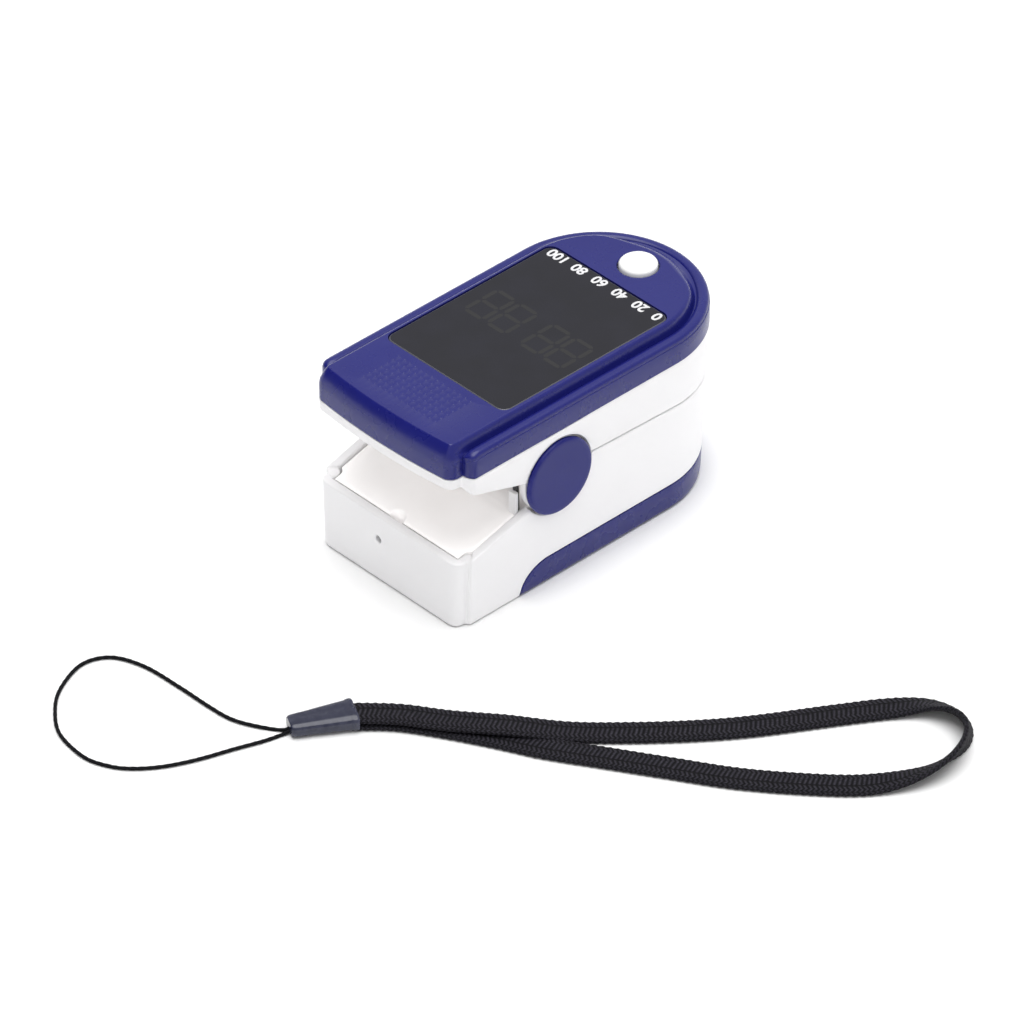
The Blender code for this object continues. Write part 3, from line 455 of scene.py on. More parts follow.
# ---- finishes ------------------------------------------------------------------------
@dataclass(frozen=True)
class Finish:
    """A material and the name of its slot, which this script stores but does not use."""

    name: str
    slot: str

    @property
    def material(self) -> bpy.types.Material:
        """The material, made the first time it is asked for."""
        found = bpy.data.materials.get(self.name)
        return found or self.make()

    def make(self) -> bpy.types.Material:
        """Build the material; each kind of finish has its own way."""
        raise NotImplementedError

    def start(self) -> tuple[bpy.types.Material, Graph, bpy.types.Node]:
        """Start a node material and return it, its graph and its Principled shader."""
        material = bpy.data.materials.new(self.name)
        material.use_nodes = True
        return material, Graph(material.node_tree), material.node_tree.nodes["Principled BSDF"]


def group_node(graph: Graph, make: Callable[[], bpy.types.NodeTree], name: str,
               inputs: dict) -> bpy.types.Node:
    """Place a node group in a material, making the group the first time.

    Args:
        graph: The material's graph.
        make: What builds the group.
        name: Name of the group.
        inputs: Values or sockets for its inputs.

    Returns:
        The group's node.
    """
    node = graph.tree.nodes.new("ShaderNodeGroup")
    node.node_tree = bpy.data.node_groups.get(name) or make()
    for key, value in inputs.items():
        if isinstance(value, bpy.types.NodeSocket):
            graph.tree.links.new(value, node.inputs[key])
        else:
            node.inputs[key].default_value = (*value, 1.0) if isinstance(value, tuple) else value
    return node


def dress(graph: Graph, shader: bpy.types.Node, group: bpy.types.Node, depth: float) -> None:
    """Join a group's colour, roughness and height to a shader; depth is in millimetres."""
    graph.tree.links.new(group.outputs["Colour"], shader.inputs["Base Color"])
    if "Roughness" in group.outputs:
        graph.tree.links.new(group.outputs["Roughness"], shader.inputs["Roughness"])
    bump = graph.add("ShaderNodeBump", {"Height": group.outputs["Height"], "Strength": 0.6,
                                        "Distance": depth * MM})
    graph.tree.links.new(bump.outputs[0], shader.inputs["Normal"])


@dataclass(frozen=True)
class Moulded(Finish):
    """Moulded plastic or rubber with mottling, grain and rubbed edges."""

    colour: Colour
    mottle: Colour
    edge: Colour
    edge_amount: float = 0.5
    grain: float = 2600.0
    smooth: float = 0.25
    rough: float = 0.4
    depth: float = 0.02
    level: float = 0.5
    coat: float = 0.0
    seep: float = 0.0

    def make(self) -> bpy.types.Material:
        """Build the material from the group for moulded plastic."""
        material, graph, shader = self.start()
        place = graph.add("ShaderNodeTexCoord")
        edge = graph.add("ShaderNodeAttribute", attribute_name="edge")
        group = group_node(graph, moulded_group, "moulded_surface", {
            "Vector": place.outputs["Object"], "Colour": self.colour,
            "Mottle Colour": self.mottle, "Edge Colour": self.edge, "Edge": edge.outputs["Fac"],
            "Edge Amount": self.edge_amount, "Grain Scale": self.grain, "Smooth": self.smooth,
            "Rough": self.rough})
        dress(graph, shader, group, self.depth)
        shader.inputs["Specular IOR Level"].default_value = self.level
        shader.inputs["Coat Weight"].default_value = self.coat
        shader.inputs["Coat Roughness"].default_value = 0.05
        if self.seep:
            shader.inputs["Subsurface Weight"].default_value = self.seep
            shader.inputs["Subsurface Radius"].default_value = (1.0, 0.9, 0.8)
            shader.inputs["Subsurface Scale"].default_value = 0.0012
        return material


@dataclass(frozen=True)
class Metal(Finish):
    """Bare or plated metal."""

    colour: Colour
    dull: Colour
    smooth: float = 0.18
    rough: float = 0.45

    def make(self) -> bpy.types.Material:
        """Build the material from the group for metal."""
        material, graph, shader = self.start()
        place = graph.add("ShaderNodeTexCoord")
        group = group_node(graph, metal_group, "metal_surface", {
            "Vector": place.outputs["Object"], "Colour": self.colour, "Dull Colour": self.dull,
            "Smooth": self.smooth, "Rough": self.rough})
        dress(graph, shader, group, 0.01)
        shader.inputs["Metallic"].default_value = 1.0
        return material


@dataclass(frozen=True)
class Yarn(Finish):
    """Braided or twisted yarn on a UV map of around by metres along."""

    colour: Colour
    # Paler colour painted on the yarns' crowns as a sheen.
    light: Colour
    across: float
    along: float
    lean: float
    depth: float

    def make(self) -> bpy.types.Material:
        """Build the material from the group for yarn."""
        material, graph, shader = self.start()
        uv = graph.add("ShaderNodeUVMap", uv_map="lay")
        group = group_node(graph, braid_group, "braided_yarn", {
            "UV": uv.outputs[0], "Colour": self.colour, "Painted Sheen Colour": self.light,
            "Across": self.across, "Along": self.along, "Lean": self.lean})
        dress(graph, shader, group, self.depth)
        shader.inputs["Roughness"].default_value = 0.72
        shader.inputs["Specular IOR Level"].default_value = 0.14
        return material


@dataclass(frozen=True)
class Clear(Finish):
    """Cast resin of a lens or a lamp, with faint streaks."""

    colour: Colour
    streak: Colour

    def make(self) -> bpy.types.Material:
        """Build the material."""
        material, graph, shader = self.start()
        place = graph.add("ShaderNodeTexCoord")
        cloud = graph.ramp(graph.noise(place.outputs["Object"], 700.0), 0.3, 0.7)
        graph.tree.links.new(graph.blend(cloud, (*self.colour, 1.0), (*self.streak, 1.0)),
                             shader.inputs["Base Color"])
        graph.tree.links.new(graph.ramp(cloud, 0.0, 1.0, 0.06, 0.16), shader.inputs["Roughness"])
        shader.inputs["Coat Weight"].default_value = 0.6
        return material


@dataclass(frozen=True)
class Board(Finish):
    """Circuit board: green resist over copper runs, with plated dots."""

    def make(self) -> bpy.types.Material:
        """Build the material."""
        material, graph, shader = self.start()
        place = graph.add("ShaderNodeTexCoord").outputs["Object"]
        runs = graph.add("ShaderNodeTexWave", {"Vector": place, "Scale": 330.0,
                                               "Distortion": 1.6, "Detail": 0.0})
        track = graph.ramp(runs.outputs["Fac"], 0.62, 0.7)
        cells = graph.add("ShaderNodeTexVoronoi", {"Vector": place, "Scale": 420.0})
        dot = graph.ramp(cells.outputs["Distance"], 0.16, 0.12)
        resist = graph.blend(track, (0.012, 0.10, 0.04, 1.0), (0.03, 0.20, 0.08, 1.0))
        graph.tree.links.new(graph.blend(dot, resist, (0.72, 0.6, 0.32, 1.0)),
                             shader.inputs["Base Color"])
        graph.tree.links.new(graph.math("MULTIPLY", dot, 0.9), shader.inputs["Metallic"])
        graph.tree.links.new(graph.ramp(track, 0.0, 1.0, 0.42, 0.28), shader.inputs["Roughness"])
        bump = graph.add("ShaderNodeBump", {"Height": track, "Strength": 0.5, "Distance": 3e-5})
        graph.tree.links.new(bump.outputs[0], shader.inputs["Normal"])
        return material


@dataclass(frozen=True)
class Jacket(Finish):
    """Printed sleeve of a cell: dark body, copper shoulder and steel ends, along Y."""

    shoulder_y: float = 8.0

    def make(self) -> bpy.types.Material:
        """Build the material."""
        material, graph, shader = self.start()
        place = graph.add("ShaderNodeTexCoord").outputs["Object"]
        along = graph.add("ShaderNodeSeparateXYZ", {0: place}).outputs[1]
        copper = graph.ramp(along, (self.shoulder_y - 0.2) * MM, self.shoulder_y * MM)
        ends = graph.math("GREATER_THAN", graph.math("ABSOLUTE", graph.math(
            "ADD", along, 0.4 * MM)), 21.4 * MM)
        speck = graph.ramp(graph.noise(place, 1500.0), 0.4, 0.7)
        dark = graph.blend(speck, (0.02, 0.02, 0.024, 1.0), (0.05, 0.05, 0.055, 1.0))
        body = graph.blend(copper, dark, (0.62, 0.33, 0.14, 1.0))
        graph.tree.links.new(graph.blend(ends, body, (0.7, 0.69, 0.66, 1.0)),
                             shader.inputs["Base Color"])
        graph.tree.links.new(graph.math("MAXIMUM", ends, graph.math("MULTIPLY", copper, 0.8)),
                             shader.inputs["Metallic"])
        graph.tree.links.new(graph.ramp(speck, 0.0, 1.0, 0.22, 0.34), shader.inputs["Roughness"])
        return material


@dataclass(frozen=True)
class Smoked(Finish):
    """Smoked window: dark glossy face, a paler colour painted on its chamfered edge as a
    highlight, faint swirls.
    """

    face: Colour = (0.005, 0.005, 0.0105)
    # Paler colour painted on the chamfered edge as a highlight.
    rim: Colour = (0.10, 0.10, 0.12)

    def make(self) -> bpy.types.Material:
        """Build the material."""
        material, graph, shader = self.start()
        place = graph.add("ShaderNodeTexCoord").outputs["Object"]
        edge = graph.add("ShaderNodeAttribute", attribute_name="edge").outputs["Fac"]
        # Mask of the chamfered edge, where the paler colour is painted as a highlight.
        cut = graph.ramp(edge, 0.25, 0.6)
        haze = graph.ramp(graph.noise(place, 180.0, 2.0), 0.35, 0.75)
        face = graph.blend(haze, (*self.face, 1.0), (0.007, 0.007, 0.0145, 1.0))
        graph.tree.links.new(graph.blend(cut, face, (*self.rim, 1.0)),
                             shader.inputs["Base Color"])
        graph.tree.links.new(graph.ramp(haze, 0.0, 1.0, 0.08, 0.14), shader.inputs["Roughness"])
        shader.inputs["Specular IOR Level"].default_value = 0.42
        return material


@dataclass(frozen=True)
class FinishSet:
    """Every finish of the clip and its lanyard."""

    white: Finish = Moulded("white_abs", "white_shell", (0.93, 0.923, 0.935),
                            (0.918, 0.91, 0.922), (0.92, 0.92, 0.925), 0.3, smooth=0.3,
                            rough=0.4, depth=0.004)
    blue: Finish = Moulded("blue_abs", "blue_shell", (0.0095, 0.0115, 0.150),
                           (0.0105, 0.013, 0.158), (0.02, 0.024, 0.19), 0.12, smooth=0.27,
                           rough=0.3, depth=0.003, level=0.43)
    disc: Finish = Moulded("blue_abs_disc", "blue_shell", (0.0095, 0.0115, 0.150),
                           (0.0105, 0.013, 0.158), (0.03, 0.034, 0.21), 0.3, smooth=0.3,
                           rough=0.34, depth=0.003, level=0.26)
    rubber: Finish = Moulded("finger_rubber", "pad_rubber", (0.92, 0.90, 0.893),
                             (0.895, 0.873, 0.864), (0.94, 0.93, 0.92), 0.4, 1800.0, 0.5, 0.66,
                             0.008, 0.4)
    window: Finish = Smoked("smoked_acrylic", "smoked_window")
    print: Finish = Moulded("window_print", "smoked_window", (0.75, 0.75, 0.77),
                            (0.66, 0.66, 0.68), (0.8, 0.8, 0.8), smooth=0.4, rough=0.5)
    digit: Finish = Moulded("dark_segments", "smoked_window", (0.0125, 0.012, 0.014),
                            (0.0105, 0.0105, 0.013), (0.012, 0.012, 0.012), smooth=0.12, rough=0.2,
                            depth=0.002)
    button: Finish = Moulded("button_abs", "button_white", (0.93, 0.93, 0.91),
                             (0.9, 0.9, 0.88), (0.95, 0.95, 0.94), smooth=0.22, rough=0.34,
                             depth=0.008)
    vinyl: Finish = Moulded("ferrule_sleeve", "ferrule_vinyl", (0.014, 0.016, 0.038),
                            (0.019, 0.021, 0.045), (0.12, 0.125, 0.18), 0.3, 1500.0, 0.1,
                            0.18, 0.004, 0.5)
    chip: Finish = Moulded("chip_resin", "chip_black", (0.018, 0.018, 0.019),
                           (0.03, 0.03, 0.031), (0.06, 0.06, 0.06), smooth=0.35, rough=0.55)
    cable: Finish = Moulded("cable_sleeve", "cable_black", (0.014, 0.014, 0.015),
                            (0.02, 0.02, 0.021), (0.05, 0.05, 0.05), smooth=0.35, rough=0.5)
    steel: Finish = Metal("spring_wire", "spring_steel", (0.62, 0.62, 0.64), (0.4, 0.4, 0.42))
    nickel: Finish = Metal("nickel_plate", "nickel", (0.72, 0.69, 0.63), (0.5, 0.47, 0.42))
    board: Finish = Board("circuit_board", "board_green")
    jacket: Finish = Jacket("cell_sleeve", "cell_jacket")
    lens: Finish = Clear("lens_resin", "clear_lens", (0.42, 0.05, 0.05), (0.6, 0.16, 0.14))
    # The second colour of the strap and of the string is the sheen painted on their yarns' crowns.
    strap: Finish = Yarn("strap_braid", "strap_black", (0.0015, 0.0015, 0.0025),
                         (0.052, 0.048, 0.064), 8.0, 1450.0, 1.3, 0.16)
    string: Finish = Yarn("string_twist", "cable_black", (0.002, 0.002, 0.003),
                          (0.010, 0.010, 0.014), 2.0, 800.0, 2.0, 0.05)


# ---- the case's plan and edges -------------------------------------------------------
@dataclass(frozen=True)
class Hinge:
    """The hinge axis and the round pieces about it."""

    y: float = -9.7
    z: float = 19.0
    ear: float = 6.1
    notch: float = 6.5

    def below(self, y: float) -> float:
        """Height of the notch's lower arc at a place along Y."""
        return self.z - sqrt(max(self.notch ** 2 - (y - self.y) ** 2, 0.0))

    def above(self, y: float) -> float:
        """Height of the notch's upper arc at a place along Y."""
        return 2 * self.z - self.below(y)

    def stops(self) -> list[float]:
        """Places along Y that draw the notch as a fine arc."""
        return [self.y + self.notch * cos(pi * i / 56) for i in range(57)]


HINGE = Hinge()


@dataclass(frozen=True)
class CasePlan:
    """Plan of a case half: front, stepped corners, straight sides, half round rear."""

    front: float
    shoulder: float
    nose: float
    stops: tuple[float, ...]
    bow: float = 0.0
    fillet: float = 0.35
    step: float = 0.45
    half: float = 16.0
    rear_centre: float = 13.6
    corner: float = 1.7
    draft: float = 0.15

    @lru_cache(maxsize=4096)
    def at(self, inset: float) -> Plan:
        """Closed outline, drawn in by an inset; it always has the same number of points."""
        side, nose = self.half - inset, self.nose - inset
        front, shoulder = self.front + inset, self.shoulder + inset
        corner, step = max(self.corner - inset, 0.05), max(self.step - inset, 0.05)
        fillet = min(self.fillet + inset, side - step - nose)
        reach = nose - corner
        right = [(reach * i / 12, front - self.bow * (1 - (i / 12) ** 2)) for i in range(12)]
        right += arc(reach, front + corner, corner, -90, 0, 10)
        right += arc(nose + fillet, shoulder - fillet, fillet, 180, 90, 6)
        start = shoulder + self.draft + step
        right += arc(side - step, start, step, -90, 0, 8)
        right += [(side, max(y, start + 0.01)) for y in self.stops]
        right += arc(0.0, self.rear_centre, side, 0, 90, 36)
        return right + [(-x, y) for x, y in reversed(right[1:-1])]


def taper(bm: bmesh.types.BMesh, part_line: float = 27.1, half: float = 16.0,
          foot: float = 15.0, rear_centre: float = 13.6) -> None:
    """Lean the walls in towards the table.

    Args:
        bm: The mesh to lean.
        part_line: Height at which the case has its full width.
        half, foot: Half widths there and at the table.
        rear_centre: Where the rear's round begins, along Y.
    """
    for vert in bm.verts:
        share = min(vert.co.z / part_line, 1.0)
        scale = mix(foot, half, share) / half
        vert.co.x *= scale
        if vert.co.y > rear_centre:
            vert.co.y = rear_centre + (vert.co.y - rear_centre) * scale


def foot_inset(z: float, radius: float = 0.8) -> float:
    """How far the rounded foot of the case stands in at a height."""
    return radius - sqrt(radius ** 2 - (radius - z) ** 2) if 0.0 <= z < radius else 0.0


def sorted_stops(*lists: Iterable[float]) -> tuple[float, ...]:
    """Join lists of places along Y, in order and without close neighbours."""
    stops: list[float] = []
    for y in sorted(y for values in lists for y in values):
        if not stops or y - stops[-1] > 0.03:
            stops.append(y)
    return tuple(stops)


@dataclass(frozen=True)
class Seam:
    """The line behind the hinge where the two halves meet."""

    front: float = 19.57
    rear: float = 18.35
    start: float = -3.6
    end: float = 29.6

    def height(self, y: float) -> float:
        """Height of the seam at a place along Y."""
        return mix(self.front, self.rear, (y - self.start) / (self.end - self.start))


SEAM = Seam()


@dataclass(frozen=True)
class CoverEdge:
    """Swept front edge of the battery cover, a quarter of an ellipse in side view."""

    low: float = -16.45
    high: float = -10.8
    top: float = 4.55

    def height(self, y: float, gap: float = 0.0) -> float:
        """Height of the edge at a place along Y, set off by a gap."""
        run, rise = self.high - self.low, self.top + gap
        share = (self.high - gap - y) / run
        if share >= 1.0:
            return 0.0
        return rise * sqrt(1.0 - max(share, 0.0) ** 2)

    def stops(self, gap: float = 0.0) -> list[float]:
        """Places along Y that draw the edge as a fine curve."""
        run = self.high - self.low
        return [self.high - gap - run * sin(radians(90 * i / 18)) for i in range(19)]


COVER_EDGE = CoverEdge()
WALL = 1.5


# ---- lower half ----------------------------------------------------------------------
@dataclass
class LowerShell:
    """White lower shell: stepped front corners, sill, hinge ears and rear wall."""

    finishes: FinishSet
    sill: float = 11.7
    sill_shoulder: float = 12.0
    sill_back: float = 15.0
    mouth_y: float = -15.9
    shoulder: float = -26.7
    gap: float = 0.2
    round_over: float = 0.28
    eyelet: tuple[float, float, float] = (-2.0, 7.5, 0.6)
    plan: CasePlan = field(init=False)

    def __post_init__(self) -> None:
        """Lay out the plan."""
        self.plan = CasePlan(-28.65, self.shoulder, 15.2, sorted_stops(
            spread(-25.9, -16.8, 0.45), COVER_EDGE.stops(self.gap), HINGE.stops(),
            spread(-3.0, 13.4, 0.8)))

    def edge(self, y: float) -> float:
        """Height of the sill, the mouth's edge, the notch or the seam along Y."""
        slope = (self.sill_back - self.sill_shoulder) / (self.mouth_y - self.shoulder)
        mouth = self.sill_shoulder + slope * (y - self.shoulder)
        if y < -15.0:
            return mix(self.sill, max(mouth, self.sill), smoothstep(-27.4, -26.3, y))
        if y < HINGE.y + HINGE.notch - 0.01:
            return min(mouth, HINGE.below(y)) if y < HINGE.y else HINGE.below(y)
        return SEAM.height(y)

    def foot(self, y: float) -> float:
        """Height of the shell's lower edge along Y."""
        return COVER_EDGE.height(y, self.gap)

    def wall(self, bm: bmesh.types.BMesh) -> None:
        """Raise the wall as one closed section all round."""
        base = self.plan.at(0.0)
        lows = [self.foot(y) for _, y in base]
        highs = [self.edge(y) for _, y in base]
        soft = self.round_over

        def row(inset: float, height: Callable[[float, float], float]) -> list[Vector]:
            heights = [height(low, high) for low, high in zip(lows, highs)]
            places = []
            for i, z in enumerate(heights):
                edge = 0.06 * (1 - smoothstep(lows[i], lows[i] + 0.12, z)) if lows[i] else 0.0
                extra = foot_inset(z) + edge if inset < 0.9 else 0.0
                x, y = self.plan.at(round(inset + extra, 3))[i]
                places.append(Vector((x, y, z)))
            return places

        shares = (0.0, 0.004, 0.012, 0.026, 0.046, 0.07, 0.2, 0.4, 0.6, 0.8, 1.0)
        band = Band(bm, row(0.0, lambda low, high: low))
        for share in shares[1:]:
            band.rise(row(0.0, lambda low, high, s=share: mix(low, high - soft, s)))
        for turn in (30.0, 60.0, 90.0):
            drop = soft * (1 - sin(radians(turn)))
            inset = soft * (1 - cos(radians(turn)))
            band.rise(row(inset, lambda low, high, d=drop: high - d))
        for turn in (90.0, 60.0, 30.0, 0.0):
            drop = soft * (1 - sin(radians(turn)))
            inset = WALL - soft * (1 - cos(radians(turn)))
            band.rise(row(inset, lambda low, high, d=drop: high - d))
        band.rise(row(WALL, lambda low, high: low))
        band.close()

    def floor(self, bm: bmesh.types.BMesh) -> None:
        """Add the floor ahead of the battery cover."""
        outline = [(x, y) for x, y in self.plan.at(1.2) if y < COVER_EDGE.low - self.gap - 0.3]
        slab(bm, outline, 0.02, 0.9)

    def ears(self, bm: bmesh.types.BMesh) -> None:
        """Add the round ears that carry the hinge pins."""
        for side in (-1, 1):
            low, high = sorted((side * 14.1, side * 15.2))
            ring_plate(bm, (HINGE.y, HINGE.z), 1.5, lambda a: HINGE.ear, low, high)

    def posts(self, bm: bmesh.types.BMesh) -> None:
        """Add the two small posts that guard the hinge cables."""
        for side in (-1, 1):
            outline = [(side * 13.25 + x, y - 16.25)
                       for x, y in TopCover.rounded(0.75, -0.3, 0.3, 0.15)]
            slab(bm, outline, 9.0, 18.1)

    def build(self) -> bpy.types.Object:
        """Make the shell: the drilled wall first, then what stands inside it."""
        bm = bmesh.new()
        self.wall(bm)
        taper(bm)
        drilled = self.drill(bm)
        bm = bmesh.new()
        self.floor(bm)
        taper(bm)
        self.ears(bm)
        self.posts(bm)
        bm.from_mesh(drilled)
        return make_piece("shell_lower", bm, self.finishes.white, Body.LOWER, ["lower_shell"])

    def drill(self, wall: bmesh.types.BMesh) -> bpy.types.Mesh:
        """Cut the small hole, with a chamfer, through the front wall.

        Args:
            wall: The wall alone, in millimetres; it is freed.

        Returns:
            The wall's mesh with the hole, in millimetres.
        """
        x, z, radius = self.eyelet
        tool, band = bmesh.new(), None
        for reach, y in ((radius + 0.25, -29.0), (radius + 0.16, -28.66), (radius, -28.5),
                         (radius, -26.0)):
            loop = [(x + reach * cos(2 * pi * i / 32), y, z + reach * sin(2 * pi * i / 32))
                    for i in range(32)]
            band = band.rise(loop) if band else Band(tool, loop)
        band.cap()
        solids = []
        for name, bm in (("wall", wall), ("drill", tool)):
            outward(bm)
            mesh = bpy.data.meshes.new(name)
            bm.to_mesh(mesh)
            bm.free()
            solids.append(bpy.data.objects.new(name, mesh))
            bpy.context.scene.collection.objects.link(solids[-1])
        modifier = solids[0].modifiers.new("hole", "BOOLEAN")
        modifier.object, modifier.solver = solids[1], "EXACT"
        bpy.context.view_layer.update()
        solid = solids[0].evaluated_get(bpy.context.evaluated_depsgraph_get())
        cut = bpy.data.meshes.new_from_object(solid)
        for obj in solids:
            bpy.data.objects.remove(obj, do_unlink=True)
        return cut


@dataclass
class BatteryCover:
    """Blue cover under the cells: floor, side strips with swept front edges, rear wall."""

    finishes: FinishSet
    floor_thick: float = 0.9
    side_thick: float = 1.2
    soft: float = 0.22

    def build(self) -> bpy.types.Object:
        """Make the cover as an open wall with its ends closed, and a floor."""
        plan = CasePlan(-28.65, -26.7, 15.2, sorted_stops(
            COVER_EDGE.stops()[:-1], spread(-10.4, 13.4, 0.8)))
        keep = [i for i, (_, y) in enumerate(plan.at(0.0)) if y > COVER_EDGE.low + 0.02]

        def row(inset: float, share: float, drop: float) -> list[Vector]:
            base, places = plan.at(0.0), []
            for i in keep:
                high = COVER_EDGE.height(base[i][1])
                soft = min(self.soft, high * 0.4)
                z = mix(0.0, high - soft, share) if drop < 0 else high - soft * drop
                extra = foot_inset(z) if inset < 0.7 else 0.0
                x, y = plan.at(round(inset + extra, 3))[i]
                places.append(Vector((x, y, z)))
            return places

        bm = bmesh.new()
        band = Band(bm, row(0.0, 0.0, -1), closed=False)
        for share in (0.01, 0.03, 0.07, 0.12, 0.18, 0.4, 0.7, 1.0):
            band.rise(row(0.0, share, -1))
        for turn in (45.0, 90.0):
            band.rise(row(self.soft * (1 - cos(radians(turn))), 0, 1 - sin(radians(turn))))
        for turn in (90.0, 45.0, 0.0):
            band.rise(row(self.side_thick - self.soft * (1 - cos(radians(turn))), 0,
                          1 - sin(radians(turn))))
        band.rise(row(self.side_thick, 0.0, -1))
        bmesh.ops.bridge_loops(bm, edges=band.first + band.edges)
        bmesh.ops.remove_doubles(bm, verts=bm.verts, dist=0.0005)
        bmesh.ops.holes_fill(bm, edges=[e for e in bm.edges if e.is_boundary], sides=0)
        outline = [plan.at(0.95)[i] for i in keep]
        slab(bm, outline, 0.0, self.floor_thick)
        taper(bm)
        return make_piece("cover_battery", bm, self.finishes.blue, Body.COVER, ["battery_cover"])


@dataclass
class FingerPad:
    """Soft pad, hollowed along the finger, with a fingertip stop and a sensor window."""

    finishes: FinishSet
    name: str
    node: str
    body: Body
    plan: CasePlan
    slope: tuple[tuple[float, float], tuple[float, float]]
    flat: float
    stop: float
    up: int = 1
    inset: float = 1.75
    thick: float = 1.35
    trough_radius: float = 20.0
    trough_depth: float = 0.8
    rear: float = 7.5
    window: tuple[float, float, float] = (2.3, 2.0, -6.0)
    notch: tuple[float, float] | None = None

    def half_at(self, y: float) -> float:
        """Half width of the pad's plan at a place along Y."""
        right = [p for p in self.plan.at(self.inset) if p[0] > 0.0]
        width = 0.0
        for (x0, y0), (x1, y1) in zip(right, right[1:]):
            low, high = sorted((y0, y1))
            if low <= y <= high and high > low:
                width = max(width, mix(x0, x1, (y - y0) / (y1 - y0)))
        return width

    def height(self, x: float, y: float) -> float:
        """Height of the pad's face before its edges are rolled."""
        (y0, z0), (y1, z1) = self.slope
        run = mix(z0, z1, min(max((y - y0) / (y1 - y0), 0.0), 1.0))
        ease = 0.5 * (1 - smoothstep(0.0, 1.6, abs(y - y1))) * 0.3
        run -= self.up * ease
        trough = self.flat - self.up * (self.trough_depth - self.trough_radius
                                        + sqrt(self.trough_radius ** 2 - min(abs(x), 13) ** 2))
        face = min(run, trough) if self.up > 0 else max(run, trough)
        rise = smoothstep(6.15, 6.75, y)
        face = mix(face, self.stop, rise)
        half_x, half_y, centre = self.window
        inside = (1 - smoothstep(half_x, half_x + 0.25, abs(x))) * (
            1 - smoothstep(half_y, half_y + 0.25, abs(y - centre)))
        face -= self.up * 1.15 * inside
        if self.notch:
            half, end = self.notch
            cut = (1 - smoothstep(half - 0.12, half + 0.12, hypot(x, max(y - end + half, 0.0))))
            face -= self.up * 1.1 * cut
        return face

    def build(self) -> bpy.types.Object:
        """Shape a fine grid to the pad's face, then give it thickness."""
        front = self.plan.front + self.inset - self.plan.bow
        bm = bmesh.new()
        rows, columns = 150, 130
        made = bmesh.ops.create_grid(bm, x_segments=columns, y_segments=rows, size=1.0)
        halves: dict[float, float] = {}
        for vert in made["verts"]:
            u, v = vert.co.x, (vert.co.y + 1) / 2
            y = mix(front + 0.02, self.rear, v ** 1.15)
            key = round(y, 5)
            if key not in halves:
                halves[key] = max(self.half_at(y), 1.0)
            half = halves[key]
            x = half * (u * 1.12 - 0.12 * u ** 3)
            share = min(max(self.height(x, y) / 27.1, 0.0), 1.0)
            away = min(half - abs(x), (y - front) * 0.9)
            roll = 0.18 * (1 - smoothstep(0.0, 0.45, away)) ** 2
            vert.co = (x * mix(15, 16, share) / 16, y, self.height(x, y) - self.up * roll)
        bmesh.ops.smooth_vert(bm, verts=bm.verts, factor=0.5, use_axis_z=True)
        bmesh.ops.recalc_face_normals(bm, faces=bm.faces)
        if (bm.faces[0].normal.z > 0) != (self.up > 0):
            bmesh.ops.reverse_faces(bm, faces=bm.faces)
        rim = [e for e in bm.edges if e.is_boundary]
        made = bmesh.ops.extrude_edge_only(bm, edges=rim)["geom"]
        for vert in (v for v in made if isinstance(v, bmesh.types.BMVert)):
            vert.co.z -= self.up * self.thick
        low = [e for e in made if isinstance(e, bmesh.types.BMEdge) and e.is_boundary]
        bmesh.ops.holes_fill(bm, edges=low, sides=0)
        pad = make_piece(self.name, bm, self.finishes.rubber, self.body, [self.node])
        return pad


